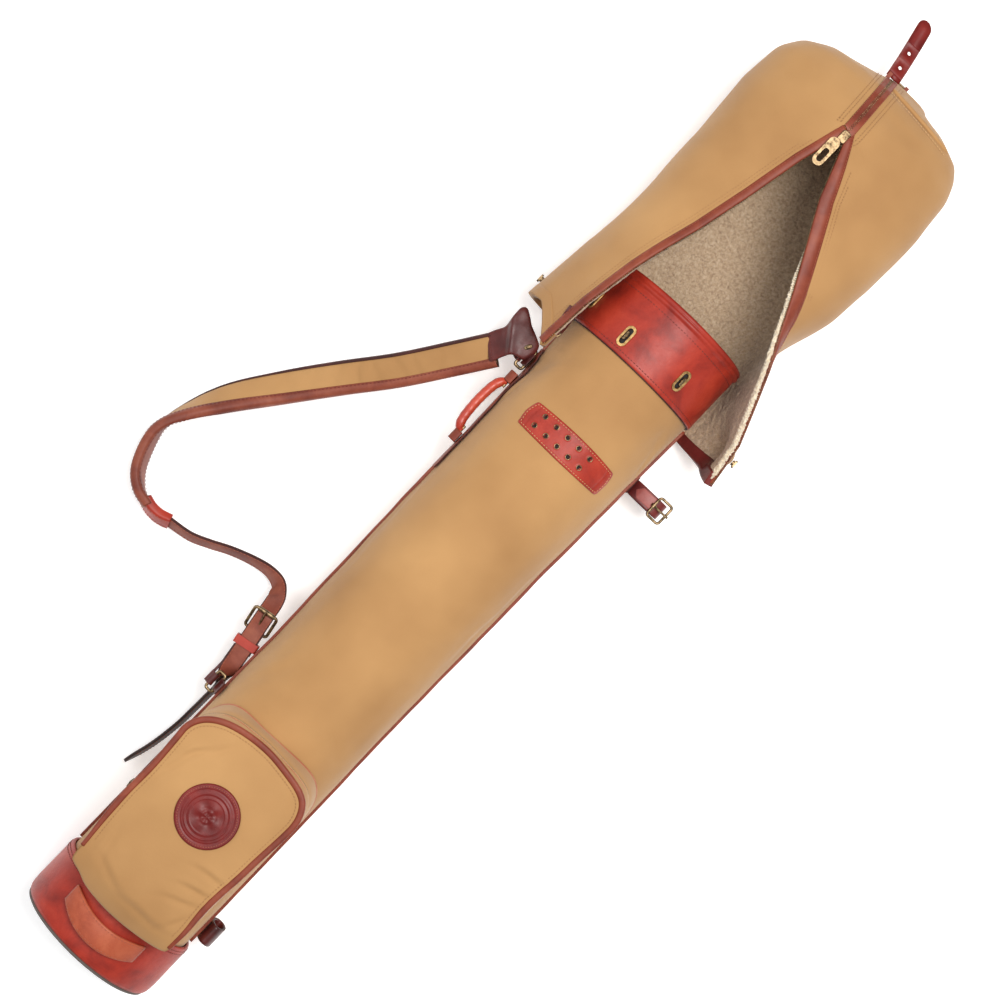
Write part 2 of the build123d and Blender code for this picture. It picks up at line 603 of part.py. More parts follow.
# ------------------------------------------------------------------ the hood
# left x, right x, underside, top at stations along the hood
HOOD = [(792, -131, 143, 0, 104), (840, -128, 128, 0, 134), (900, -124, 108, 0, 150), (960, -126, 111, 0, 152),
        (1030, -131, 115, 0, 152), (1100, -137, 118, 0, 150), (1148, -126, 114, 0, 140), (1180, -92, 92, 6, 118),
        (1203, -45, 55, 24, 84)]


def hood_outline(xl, xr, zb, zt):
    rt = min(34, (zt - zb) * 0.42, (xr - xl) * 0.3)
    rb = min(16, (zt - zb) * 0.2)
    k = 0.293
    return [(xl + rb, zb), (xr - rb, zb), (xr - rb * k, zb + rb * k), (xr, zb + rb), (xr, zt - rt), (xr - rt * k, zt - rt * k),
            (xr - rt, zt), (xl + rt, zt), (xl + rt * k, zt - rt * k), (xl, zt - rt), (xl, zb + rb), (xl + rb * k, zb + rb * k)]


def hood_block(side, back, cap, y_from=None, y_to=None):
    """The hood's outer form with its walls moved inward."""
    with BuildPart() as s:
        rows = [list(h) for h in HOOD]
        rows[-1][0] -= cap
        if y_from is not None:
            f = (y_from - rows[0][0]) / (rows[1][0] - rows[0][0])
            rows.insert(0, [y_from] + [rows[0][k] + (rows[1][k] - rows[0][k]) * f for k in range(1, 5)])
        for y, xl, xr, zb, zt in rows:
            with BuildSketch(Plane(origin=(0, y, 0), x_dir=(1, 0, 0), z_dir=(0, -1, 0))):
                with BuildLine():
                    Polyline(*hood_outline(xl + side, xr - side, zb + back, zt - side), close=True)
                make_face()
        loft(ruled=True)
    return s.part


V_CUT = [(-9, 1118), (-25, 1064), (-37, 1005), (-50, 947), (-67, 880), (-77, 833), (-84, 800), (-85, 770), (114, 770),
         (108, 831), (88, 896), (58, 969), (17, 1050)]
with BuildPart() as v_cut:
    with BuildSketch(Plane.XY.offset(40)):
        with BuildLine():
            Polyline(*V_CUT, close=True)
        make_face()
    extrude(amount=140)

with BuildPart() as hood_shell:
    add(hood_block(0, 0, 0))
    add(hood_block(HOOD_SHELL, HOOD_SHELL, HOOD_SHELL, y_from=770), mode=Mode.SUBTRACT)
    add(v_cut.part, mode=Mode.SUBTRACT)

with BuildPart() as hood_lining:
    add(hood_block(HOOD_SHELL + 0.3, HOOD_SHELL + 0.1, HOOD_SHELL + 0.4))
    add(hood_block(HOOD_LINING, HOOD_BACK, HOOD_LINING, y_from=770), mode=Mode.SUBTRACT)
    add(v_cut.part, mode=Mode.SUBTRACT)

with BuildPart() as hood_hem_trim:
    add(hood_block(-1.4, 0.0, -1.4))
    add(hood_block(-0.1, -2.0, -0.1, y_from=770), mode=Mode.SUBTRACT)
    with BuildSketch(Plane(origin=(0, 792, 0), x_dir=(1, 0, 0), z_dir=(0, -1, 0))):
        with Locations((0, 110)):
            Rectangle(320, 212)
    extrude(amount=-11, mode=Mode.INTERSECT)
    add(v_cut.part, mode=Mode.SUBTRACT)


# zip tapes along both edges of the opening, on the inner side of the shell
def top_at(y, x):
    rows = HOOD
    for a, b in zip(rows, rows[1:]):
        if a[0] <= y <= b[0]:
            f = (y - a[0]) / (b[0] - a[0])
            xl, xr, zb, zt = (a[k] + (b[k] - a[k]) * f for k in (1, 2, 3, 4))
            o = hood_outline(xl, xr, zb, zt)
            pts = o[3:10]
            for (x0, z0), (x1, z1) in zip(pts, pts[1:]):
                if x1 <= x <= x0:
                    return z0 + (z1 - z0) * ((x - x0) / (x1 - x0) if x1 != x0 else 0)
            return zt
    return rows[-1][4]


L_EDGE = [(-25, 1064), (-37, 1005), (-50, 947), (-67, 880), (-76, 838)]
R_EDGE = [(10, 1064), (17, 1050), (58, 969), (88, 896), (108, 831), (112.5, 797)]


def along_edge(edge, d):
    """Points beside one edge of the opening, at the height of the cloth."""
    ys = sorted({y for _, y in edge} | {h[0] for h in HOOD if edge[-1][1] < h[0] < edge[0][1]}, reverse=True)
    out = []
    for y in ys:
        for (x0, y0), (x1, y1) in zip(edge, edge[1:]):
            if y1 <= y <= y0:
                x = x0 + (x1 - x0) * (y - y0) / (y1 - y0)
                out.append((x + d, y, top_at(y, x) - 1.0))
                break
    return out


with BuildPart() as hood_zip_tape:
    for edge, d in ((L_EDGE, 5.2), (R_EDGE, -5.6)):
        pts = along_edge(edge, d)
        for pl in ribbon_planes(pts, [0] * len(pts)):
            with BuildSketch(pl):
                Rectangle(8, 1.6)
        loft(ruled=True)

with BuildPart() as hood_zip_teeth:
    for edge, d in ((L_EDGE, 11.4), (R_EDGE, -12.6)):
        pts = along_edge(edge, d)
        for pl in ribbon_planes(pts, [0] * len(pts)):
            with BuildSketch(pl):
                Rectangle(3.0, 2.4)
        loft(ruled=True)

# the closed stretch of the zip, from the slider over the cap
with BuildPart() as hood_zip_closed:
    for y, z in ((1121.5, 150.4), (1148, 143.4), (1180, 122.6), (1199, 96.6)):
        with BuildSketch(Plane(origin=(-9 - (y - 1118) * 0.05, y, z), x_dir=(1, 0, 0), z_dir=unit((0, 1, -0.4)))):
            Rectangle(13, 2.2)
    loft(ruled=True)

HZ = (-9.0, 1110.0, 153.6)
with BuildPart() as hood_zip_slider:
    with BuildSketch(Plane(origin=HZ, x_dir=(1, 0, 0), z_dir=(0, 0, 1))):
        RectangleRounded(9, 13, 2.5)
    extrude(amount=2.0, both=True)
    chamfer(hood_zip_slider.faces().sort_by(Axis.Z)[-1].edges(), 0.6)
with BuildPart() as hood_zip_pull:
    with BuildSketch(Plane.XY.offset(156.0)):
        with Locations((-12.0, 1087.0)):
            RectangleRounded(12, 34, 5.8)
            with Locations((0, -5)):
                RectangleRounded(6.0, 16, 2.9, mode=Mode.SUBTRACT)
    extrude(amount=2.0)

with BuildPart() as hood_studs:
    for x, y, z, d in ((-130.3, 810, 62, -1), (138.9, 810, 60, 1)):
        with BuildSketch(Plane(origin=(x + d * 0.2, y, z), x_dir=(0, 1, 0), z_dir=(d, 0, 0))):
            Circle(3.2)
        extrude(amount=2.4)
        with BuildSketch(Plane(origin=(x + d * 2.4, y, z), x_dir=(0, 1, 0), z_dir=(d, 0, 0))):
            SlotOverall(9.5, 4.0)
        extrude(amount=2.2)

# billet strap at the very top, turning on a pin in its leather anchor
TS_Y, TS_Z = 1210.0, 60.0
with BuildPart() as hood_strap_anchor:
    with BuildSketch(Plane(origin=(0, 0, TS_Z), x_dir=(1, 0, 0), z_dir=(0, 0, 1))):
        with Locations((-8.0, 1207.6)):
            Rectangle(27, 8.4)
        with Locations((-8.0, 1210.4)):
            Rectangle(18.4, 8.8, mode=Mode.SUBTRACT)
    extrude(amount=3.2, both=True)
with BuildPart() as hood_strap_pin:
    with BuildSketch(Plane(origin=(-8.0 - 9.2, TS_Y - 0.4, TS_Z), x_dir=(0, 1, 0), z_dir=(1, 0, 0))):
        Circle(1.2)
    extrude(amount=18.4)
TD = unit((-0.21, 0.978, 0))
with BuildPart() as hood_top_strap:
    with BuildSketch(Plane(origin=(-8 - 8.8, TS_Y - 0.4, TS_Z), x_dir=(0, 1, 0), z_dir=(1, 0, 0))):
        Circle(2.6)
        Circle(1.26, mode=Mode.SUBTRACT)
    extrude(amount=17.6)
    with BuildSketch(Plane(origin=(-8, TS_Y - 0.4, TS_Z - 1.3), x_dir=(1, 0, 0), z_dir=(0, 0, 1))):
        with BuildLine():
            Polyline((-8.8, 1.9), (8.8, 1.9), (-1.0, 50), (-5.5, 58), (-11.0, 61), (-16.0, 56), (-18.3, 46.5), close=True)
        make_face()
        with Locations((-7.4, 20), (-10.6, 34)):
            Circle(1.9, mode=Mode.SUBTRACT)
    extrude(amount=2.6)

PIECES = {
    "base_boot": base_boot, "base_sole": base_sole, "base_rim_welt": base_rim_welt, "base_plate": base_plate,
    "base_grab_strap": base_grab_strap, "body_tube": body_tube, "body_liner": body_liner, "cuff_hoop": cuff_hoop,
    "divider_bar": divider_bar, "side_welts": side_welts,
    "top_cuff": top_cuff, "cuff_rim": cuff_rim, "cuff_turn_plates": cuff_turn_plates,
    "cuff_knob_left": cuff_knob_left, "cuff_knob_middle": cuff_knob_middle, "cuff_knob_right": cuff_knob_right,
    "tee_holder_patch": tee_holder_patch, "pocket_gusset": pocket_gusset, "pocket_front": pocket_front,
    "pocket_piping_front": pocket_piping_front, "pocket_piping_back": pocket_piping_back,
    "pocket_zip_tape": pocket_zip_tape, "pocket_zip_slider": pocket_zip_slider, "pocket_zip_pull": pocket_zip_pull,
    "pocket_patch": pocket_patch, "handle_strip": handle_strip, "handle_anchors": handle_anchors,
    "handle_pins": handle_pins, "handle_tabs": handle_tabs, "handle_grip": handle_grip,
    "strap_rings": strap_rings, "strap_chapes": strap_chapes,
    "strap_end_tab": strap_end_tab, "strap_tab_rivet": strap_tab_rivet, "strap_pad": strap_pad,
    "strap_pad_backing": strap_pad_backing, "strap_sleeve": strap_sleeve, "strap_leather": strap_leather,
    "strap_buckle_frame": strap_buckle_frame, "strap_buckle_roller": strap_buckle_roller,
    "strap_buckle_tongue": strap_buckle_tongue, "strap_buckle_chape": strap_buckle_chape,
    "strap_keeper": strap_keeper, "umbrella_anchor": umbrella_anchor, "umbrella_strap": umbrella_strap,
    "umbrella_buckle_frame": umbrella_buckle_frame, "umbrella_buckle_tongue": umbrella_buckle_tongue,
    "umbrella_lower_loop": umbrella_lower_loop,
    "hood_shell": hood_shell, "hood_lining": hood_lining, "hood_hem_trim": hood_hem_trim,
    "hood_zip_tape": hood_zip_tape, "hood_zip_teeth": hood_zip_teeth, "hood_zip_closed": hood_zip_closed,
    "hood_zip_slider": hood_zip_slider, "hood_zip_pull": hood_zip_pull, "hood_studs": hood_studs,
    "hood_strap_anchor": hood_strap_anchor, "hood_strap_pin": hood_strap_pin, "hood_top_strap": hood_top_strap,
}
for name, piece in PIECES.items():
    piece.part.label = name
    export_step(piece.part, f"parts/{name}.step")
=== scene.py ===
import bpy
import json
import math
import numpy as np
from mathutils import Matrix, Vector, noise

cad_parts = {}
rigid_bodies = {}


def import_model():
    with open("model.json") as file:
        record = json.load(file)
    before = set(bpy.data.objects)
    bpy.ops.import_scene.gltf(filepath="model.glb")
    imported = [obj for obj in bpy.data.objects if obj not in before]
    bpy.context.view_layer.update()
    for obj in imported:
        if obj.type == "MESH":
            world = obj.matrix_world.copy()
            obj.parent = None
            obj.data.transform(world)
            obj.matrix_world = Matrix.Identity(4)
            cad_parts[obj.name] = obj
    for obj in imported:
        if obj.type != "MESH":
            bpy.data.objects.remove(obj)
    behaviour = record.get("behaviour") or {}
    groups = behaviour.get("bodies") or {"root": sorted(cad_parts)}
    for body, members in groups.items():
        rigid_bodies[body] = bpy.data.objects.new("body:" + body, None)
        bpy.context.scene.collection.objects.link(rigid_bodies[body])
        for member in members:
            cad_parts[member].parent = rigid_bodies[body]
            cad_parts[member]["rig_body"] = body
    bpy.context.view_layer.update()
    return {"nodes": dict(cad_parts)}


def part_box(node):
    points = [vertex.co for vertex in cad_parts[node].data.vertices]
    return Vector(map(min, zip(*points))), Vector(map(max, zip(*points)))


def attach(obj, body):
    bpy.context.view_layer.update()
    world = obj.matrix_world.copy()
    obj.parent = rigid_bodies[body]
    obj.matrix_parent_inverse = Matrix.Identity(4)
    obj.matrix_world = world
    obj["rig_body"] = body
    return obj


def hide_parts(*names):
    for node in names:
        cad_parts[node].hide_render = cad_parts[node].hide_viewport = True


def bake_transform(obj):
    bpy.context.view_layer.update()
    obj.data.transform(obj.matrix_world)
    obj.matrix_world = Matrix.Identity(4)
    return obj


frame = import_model()
MM = 0.001
ZC = 74.0
NODES = frame["nodes"]

# ------------------------------------------------------------------ camera
cam_d = bpy.data.cameras.new("camera")
cam = bpy.data.objects.new("camera", cam_d)
bpy.context.scene.collection.objects.link(cam)
cam.location = (-0.006, 0.617, 2.383)
cam.rotation_euler = (0, 0, math.radians(43.8))
cam_d.lens = 81.4
cam_d.sensor_width = 36.0
cam_d.clip_end = 50
bpy.context.scene.camera = cam

# --------------------------------------------------------------- materials
def lin(r, g, b):
    f = lambda c: ((c / 255 + 0.055) / 1.055) ** 2.4 if c > 10 else c / 255 / 12.92
    return (f(r), f(g), f(b), 1.0)


class M:
    """A small node-tree writer."""
    def __init__(self, name):
        self.m = bpy.data.materials.new(name)
        self.m.use_nodes = True
        self.t = self.m.node_tree
        self.b = next(n for n in self.t.nodes if n.type == "BSDF_PRINCIPLED")

    def n(self, kind, **kw):
        x = self.t.nodes.new(kind)
        for k, v in kw.items():
            if k.startswith("i_"):
                x.inputs[k[2:].replace("_", " ")].default_value = v
            else:
                setattr(x, k, v)
        return x

    def l(self, a, ao, b, bi):
        self.t.links.new(a.outputs[ao], b.inputs[bi])

    def coords(self, uv=False):
        c = self.n("ShaderNodeTexCoord")
        return c, ("UV" if uv else "Object")

    def noise(self, c, scale, detail=3.0, rough=0.55, dist=0.0):
        x = self.n("ShaderNodeTexNoise")
        x.inputs["Scale"].default_value = scale
        x.inputs["Detail"].default_value = detail
        x.inputs["Roughness"].default_value = rough
        x.inputs["Distortion"].default_value = dist
        self.t.links.new(c[0].outputs[c[1]], x.inputs["Vector"])
        return x

    def ramp(self, src, stops):
        x = self.n("ShaderNodeValToRGB")
        e = x.color_ramp.elements
        e[0].position, e[0].color = stops[0][0], stops[0][1]
        e[1].position, e[1].color = stops[-1][0], stops[-1][1]
        for p, col in stops[1:-1]:
            k = e.new(p)
            k.color = col
        self.t.links.new(src, x.inputs["Fac"])
        return x

    def mix(self, fac, a, b, kind="MIX"):
        x = self.n("ShaderNodeMix", data_type="RGBA", blend_type=kind)
        for v, s in ((fac, 0), (a, 6), (b, 7)):
            if hasattr(v, "links"):
                self.t.links.new(v, x.inputs[s])
            else:
                x.inputs[s].default_value = v
        return x.outputs[2]

    def math(self, op, a, b=0.0):
        x = self.n("ShaderNodeMath", operation=op)
        for v, s in ((a, 0), (b, 1)):
            if hasattr(v, "links"):
                self.t.links.new(v, x.inputs[s])
            else:
                x.inputs[s].default_value = v
        return x.outputs[0]

    def bump(self, h, strength, dist, prev=None):
        x = self.n("ShaderNodeBump")
        x.inputs["Strength"].default_value = strength
        x.inputs["Distance"].default_value = dist
        self.t.links.new(h, x.inputs["Height"])
        if prev is not None:
            self.t.links.new(prev, x.inputs["Normal"])
        return x.outputs["Normal"]


def canvas_mat(name, col, shade, uv=True, pitch=0.0009):
    k = M(name)
    co = k.coords()
    cu = k.coords(uv)
    big = k.noise(co, 7.0, 3.0, 0.55)
    mid = k.noise(co, 55.0, 4.0, 0.6)
    fine = k.noise(cu, 1500.0, 2.0, 0.7)
    c1 = k.mix(k.ramp(big.outputs[0], [(0.32, (0, 0, 0, 1)), (0.68, (1, 1, 1, 1))]).outputs[0], shade, col)
    c2 = k.mix(k.math("MULTIPLY", mid.outputs[0], 0.22), c1, tuple(v * 0.80 for v in col[:3]) + (1,))
    waves = []
    for d in ("X", "Y"):
        w = k.n("ShaderNodeTexWave", wave_type="BANDS", bands_direction=d)
        w.inputs["Scale"].default_value = 0.314 / pitch
        w.inputs["Distortion"].default_value = 0.5
        w.inputs["Detail"].default_value = 1.0
        w.inputs["Detail Scale"].default_value = 2.0
        k.t.links.new(cu[0].outputs[cu[1]], w.inputs["Vector"])
        waves.append(w.outputs["Fac"])
    weave = k.math("MULTIPLY", waves[0], waves[1])
    weave = k.math("ADD", weave, k.math("MULTIPLY", fine.outputs[0], 0.5))
    c3 = k.mix(k.math("MULTIPLY", weave, 0.35), k.mix(0.16, c2, (0.0, 0.0, 0.0, 1)), c2)
    k.t.links.new(c3, k.b.inputs["Base Color"])
    nb = k.bump(mid.outputs[0], 0.25, 0.0012)
    k.t.links.new(k.bump(weave, 0.35, 0.00022, nb), k.b.inputs["Normal"])
    r = k.math("ADD", k.math("MULTIPLY", big.outputs[0], 0.16), 0.70)
    k.t.links.new(r, k.b.inputs["Roughness"])
    k.b.inputs["Sheen Weight"].default_value = 0.12
    k.b.inputs["Sheen Roughness"].default_value = 0.5
    k.b.inputs["Specular IOR Level"].default_value = 0.3
    return k.m


def leather_mat(name, col, dark, light, rough=0.42, grain=900.0, coat=0.12, mott=28.0):
    k = M(name)
    co = k.coords()
    big = k.noise(co, mott, 4.0, 0.6, 0.4)
    pores = k.noise(co, grain * 0.55, 3.0, 0.6)
    crease = k.noise(co, 160.0, 5.0, 0.65, 1.2)
    v = k.n("ShaderNodeTexVoronoi", feature="DISTANCE_TO_EDGE")
    v.inputs["Scale"].default_value = grain
    k.t.links.new(co[0].outputs[co[1]], v.inputs["Vector"])
    c1 = k.ramp(big.outputs[0], [(0.28, dark), (0.50, col), (0.74, light)]).outputs[0]
    c2 = k.mix(k.math("MULTIPLY", crease.outputs[0], 0.35), c1, tuple(x * 0.62 for x in col[:3]) + (1,))
    cell = k.ramp(v.outputs["Distance"], [(0.0, (0.82, 0.82, 0.82, 1)), (0.18, (1, 1, 1, 1))]).outputs[0]
    c3 = k.mix(0.55, c2, cell, "MULTIPLY")
    k.t.links.new(c3, k.b.inputs["Base Color"])
    n1 = k.bump(crease.outputs[0], 0.30, 0.0007)
    n2 = k.bump(v.outputs["Distance"], 0.30, 0.00035, n1)
    k.t.links.new(k.bump(pores.outputs[0], 0.18, 0.0003, n2), k.b.inputs["Normal"])
    k.t.links.new(k.math("ADD", k.math("MULTIPLY", crease.outputs[0], 0.22), rough - 0.10), k.b.inputs["Roughness"])
    k.b.inputs["Coat Weight"].default_value = coat
    k.b.inputs["Coat Roughness"].default_value = 0.35
    k.b.inputs["Specular IOR Level"].default_value = 0.28
    return k.m


def fleece_mat(name, dark, mid, light, scale=210.0):
    k = M(name)
    co = k.coords()
    curl = k.noise(co, scale, 5.0, 0.68, 0.6)
    fine = k.noise(co, scale * 6, 3.0, 0.7)
    big = k.noise(co, 9.0, 3.0, 0.5)
    s = k.math("ADD", k.math("MULTIPLY", curl.outputs[0], 0.68), k.math("MULTIPLY", fine.outputs[0], 0.32))
    c1 = k.ramp(s, [(0.36, dark), (0.50, mid), (0.63, light)]).outputs[0]
    c2 = k.mix(k.math("MULTIPLY", big.outputs[0], 0.35), c1, dark)
    k.t.links.new(c2, k.b.inputs["Base Color"])
    n1 = k.bump(curl.outputs[0], 0.8, 0.003)
    k.t.links.new(k.bump(fine.outputs[0], 0.6, 0.0008, n1), k.b.inputs["Normal"])
    k.b.inputs["Roughness"].default_value = 0.95
    k.b.inputs["Sheen Weight"].default_value = 0.35
    k.b.inputs["Sheen Roughness"].default_value = 0.6
    k.b.inputs["Specular IOR Level"].default_value = 0.15
    return k.m


def metal_mat(name, col, dark, rough=0.3):
    k = M(name)
    co = k.coords()
    a = k.noise(co, 260.0, 4.0, 0.6)
    b = k.noise(co, 1400.0, 2.0, 0.6)
    c = k.ramp(a.outputs[0], [(0.34, dark), (0.62, col)]).outputs[0]
    k.t.links.new(c, k.b.inputs["Base Color"])
    k.b.inputs["Metallic"].default_value = 1.0
    k.t.links.new(k.math("ADD", k.math("MULTIPLY", a.outputs[0], 0.25), rough - 0.08), k.b.inputs["Roughness"])
    k.t.links.new(k.bump(b.outputs[0], 0.15, 0.0002), k.b.inputs["Normal"])
    return k.m


def plain_mat(name, col, rough=0.6, scale=300.0, var=0.25):
    k = M(name)
    co = k.coords()
    a = k.noise(co, scale, 4.0, 0.6)
    c = k.mix(k.math("MULTIPLY", a.outputs[0], var), col, tuple(v * 0.35 for v in col[:3]) + (1,))
    k.t.links.new(c, k.b.inputs["Base Color"])
    k.t.links.new(k.math("ADD", k.math("MULTIPLY", a.outputs[0], 0.2), rough - 0.1), k.b.inputs["Roughness"])
    k.t.links.new(k.bump(a.outputs[0], 0.3, 0.0004), k.b.inputs["Normal"])
    return k.m


CANVAS = canvas_mat("canvas", lin(190, 145, 93), lin(166, 122, 74))
CANVAS_IN = canvas_mat("canvas_lining", lin(92, 62, 44), lin(70, 46, 34))
RED = leather_mat("leather_red", lin(158, 44, 28), lin(116, 28, 20), lin(180, 60, 39), rough=0.46, coat=0.10)
ORANGE = leather_mat("leather_orange", lin(166, 78, 50), lin(136, 56, 36), lin(184, 98, 66), rough=0.48, coat=0.08)
HANDLE = leather_mat("leather_handle", lin(182, 58, 36), lin(140, 38, 26), lin(204, 86, 56), rough=0.32, coat=0.4)
RUST = leather_mat("leather_rust", lin(128, 56, 36), lin(102, 40, 27), lin(148, 74, 50), rough=0.5, coat=0.05, grain=1300.0)
SALMON = leather_mat("leather_salmon", lin(176, 104, 74), lin(150, 80, 56), lin(196, 128, 96), rough=0.5, coat=0.05, grain=1300.0)
STRAP = leather_mat("leather_strap", lin(130, 64, 46), lin(98, 42, 32), lin(152, 86, 64), rough=0.55, coat=0.05, grain=1200.0)
DARK = leather_mat("leather_dark", lin(84, 30, 27), lin(54, 18, 18), lin(108, 44, 38), rough=0.42, coat=0.18)
TAILM = leather_mat("leather_tail_back", lin(52, 38, 36), lin(36, 26, 26), lin(66, 50, 46), rough=0.5, coat=0.08)
MAROON = leather_mat("leather_maroon", lin(104, 36, 34), lin(74, 24, 24), lin(126, 50, 46), rough=0.42, coat=0.15)
PINK = leather_mat("leather_tail", lin(158, 84, 78), lin(132, 62, 58), lin(176, 104, 96), rough=0.45, coat=0.15)
EDGE = leather_mat("leather_edge", lin(62, 26, 22), lin(42, 18, 16), lin(80, 38, 32), rough=0.6, coat=0.0, grain=1600.0)
PATCH = leather_mat("leather_patch", lin(112, 24, 20), lin(78, 14, 13), lin(134, 38, 30), rough=0.44, coat=0.10)
FLEECE = fleece_mat("fleece", lin(150, 122, 96), lin(196, 167, 135), lin(222, 199, 169), scale=330.0)
CREAM = fleece_mat("fleece_edge", lin(214, 188, 150), lin(244, 228, 200), lin(255, 248, 230), scale=380.0)
BRASS = metal_mat("antique_brass", lin(156, 132, 100), lin(62, 50, 36), 0.36)
BRASS_L = metal_mat("antique_brass_plate", lin(222, 184, 124), lin(150, 116, 70), 0.42)
THREAD_CV = plain_mat("thread_canvas", lin(158, 112, 70), 0.7, 2500.0, 0.3)
THREAD = plain_mat("thread_tan", lin(206, 164, 112), 0.7, 2500.0, 0.3)
THREAD_RED = plain_mat("thread_rust", lin(160, 84, 58), 0.7, 2500.0, 0.3)
THREAD_DK = plain_mat("thread_dark", lin(104, 34, 26), 0.7, 2500.0, 0.3)
# painted shade: a flat near-black that stands for the shade inside the cuff's turn-lock slots and the tee holes
HOLE_SHADE = plain_mat("dark_hole", lin(22, 14, 12), 0.8, 800.0, 0.3)
TAPE = plain_mat("zip_tape_dark", lin(60, 44, 36), 0.85, 1600.0, 0.5)
SOLE = plain_mat("sole_grey", lin(92, 82, 76), 0.75, 500.0, 0.5)
LINER = canvas_mat("throat_lining", lin(120, 46, 38), lin(84, 32, 28))

# ----------------------------------------------------------- mesh helpers
def finish_obj(o, body, replaces=()):
    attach(o, body)
    if replaces:
        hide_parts(*replaces)
    return o


def make(name, verts, faces, mats, body, replaces=(), uvs=None, fm=None, smooth=True):
    me = bpy.data.meshes.new(name)
    me.from_pydata([tuple(v) for v in (np.asarray(verts, float) * MM)], [], [tuple(f) for f in faces])
    for m in (mats if isinstance(mats, (list, tuple)) else [mats]):
        me.materials.append(m)
    if fm is not None:
        me.polygons.foreach_set("material_index", np.asarray(fm, np.int32))
    me.polygons.foreach_set("use_smooth", np.full(len(me.polygons), smooth))
    if uvs is not None:
        uv = me.uv_layers.new(name="UVMap")
        idx = np.zeros(len(me.loops), np.int32)
        me.loops.foreach_get("vertex_index", idx)
        uv.data.foreach_set("uv", (np.asarray(uvs, np.float32) * MM)[idx].ravel())
    me.validate()
    me.update()
    o = bpy.data.objects.new(name, me)
    bpy.context.scene.collection.objects.link(o)
    return finish_obj(o, body, replaces)


def grid_uv(P):
    d0 = np.r_[0, np.cumsum(np.linalg.norm(np.diff(P, axis=0), axis=2).mean(1))]
    d1 = np.r_[0, np.cumsum(np.linalg.norm(np.diff(P, axis=1), axis=2).mean(0))]
    return np.stack(np.meshgrid(d0, d1, indexing="ij"), -1).reshape(-1, 2)


def grid_faces(n, m, off=0, wrap=False, flip=False):
    f = []
    mm = m if wrap else m - 1
    for i in range(n - 1):
        for j in range(mm):
            a, b = off + i * m + j, off + i * m + (j + 1) % m
            q = (a, b, b + m, a + m)
            f.append(q[::-1] if flip else q)
    return f


def normals(P, wrap=False):
    du = np.gradient(P, axis=0)
    if wrap:
        dv = (np.roll(P, -1, 1) - np.roll(P, 1, 1)) / 2
    else:
        dv = np.gradient(P, axis=1)
    N = np.cross(du, dv)
    return N / np.maximum(np.linalg.norm(N, axis=2, keepdims=True), 1e-9)


def sheet(name, P, t, mats, body, wrap=False, flip=False, replaces=(), edge_mat=None, inner_mat=None, bevel=True):
    """A closed skin t thick: P is the outer surface; its wall goes inward."""
    n, m, _ = P.shape
    N = normals(P, wrap) * (-1 if flip else 1)
    tt = t if np.ndim(t) else np.full((n, m), float(t))
    Q = P - N * np.asarray(tt)[..., None]
    V = np.concatenate([P.reshape(-1, 3), Q.reshape(-1, 3)])
    uv = grid_uv(P)
    F = grid_faces(n, m, 0, wrap, flip)
    k = len(F)
    F += grid_faces(n, m, n * m, wrap, not flip)
    k2 = len(F)
    o = n * m
    mm = m if wrap else m - 1
    for j in range(mm):
        a, b = j, (j + 1) % m
        q = (b, a, a + o, b + o)
        F.append(q[::-1] if flip else q)
        a, b = (n - 1) * m + j, (n - 1) * m + (j + 1) % m
        q = (a, b, b + o, a + o)
        F.append(q[::-1] if flip else q)
    if not wrap:
        for i in range(n - 1):
            a, b = i * m, (i + 1) * m
            q = (a, b, b + o, a + o)
            F.append(q[::-1] if flip else q)
            a, b = i * m + m - 1, (i + 1) * m + m - 1
            q = (b, a, a + o, b + o)
            F.append(q[::-1] if flip else q)
    ml = [mats]
    fm = np.zeros(len(F), int)
    if inner_mat is not None:
        ml.append(inner_mat)
        fm[k:k2] = len(ml) - 1
    if edge_mat is not None:
        ml.append(edge_mat)
        fm[k2:] = len(ml) - 1
    return make(name, V, F, ml, body, replaces, np.concatenate([uv, uv]), fm)


def catmull(pts, n, closed=False):
    """n points evenly spaced by length on a smooth curve through pts."""
    p = np.asarray(pts, float)
    if closed:
        q = np.concatenate([p[-1:], p, p[:2]])
    else:
        q = np.concatenate([2 * p[:1] - p[1:2], p, 2 * p[-1:] - p[-2:-1]])
    out = []
    for i in range(1, len(q) - 2):
        t = np.linspace(0, 1, 24, endpoint=False)[:, None]
        a, b, c, d = q[i - 1], q[i], q[i + 1], q[i + 2]
        out.append(0.5 * ((2 * b) + (-a + c) * t + (2 * a - 5 * b + 4 * c - d) * t ** 2 + (-a + 3 * b - 3 * c + d) * t ** 3))
    out = np.concatenate(out + [q[-2][None]])
    s = np.r_[0, np.cumsum(np.linalg.norm(np.diff(out, axis=0), axis=1))]
    x = np.linspace(0, s[-1], n, endpoint=not closed)
    return np.stack([np.interp(x, s, out[:, k]) for k in range(out.shape[1])], 1)


def lerp1(x, xs, ys):
    return np.interp(x, xs, ys)


def tangents(p, closed=False):
    if closed:
        t = np.roll(p, -1, 0) - np.roll(p, 1, 0)
    else:
        t = np.gradient(p, axis=0)
    return t / np.maximum(np.linalg.norm(t, axis=1, keepdims=True), 1e-9)


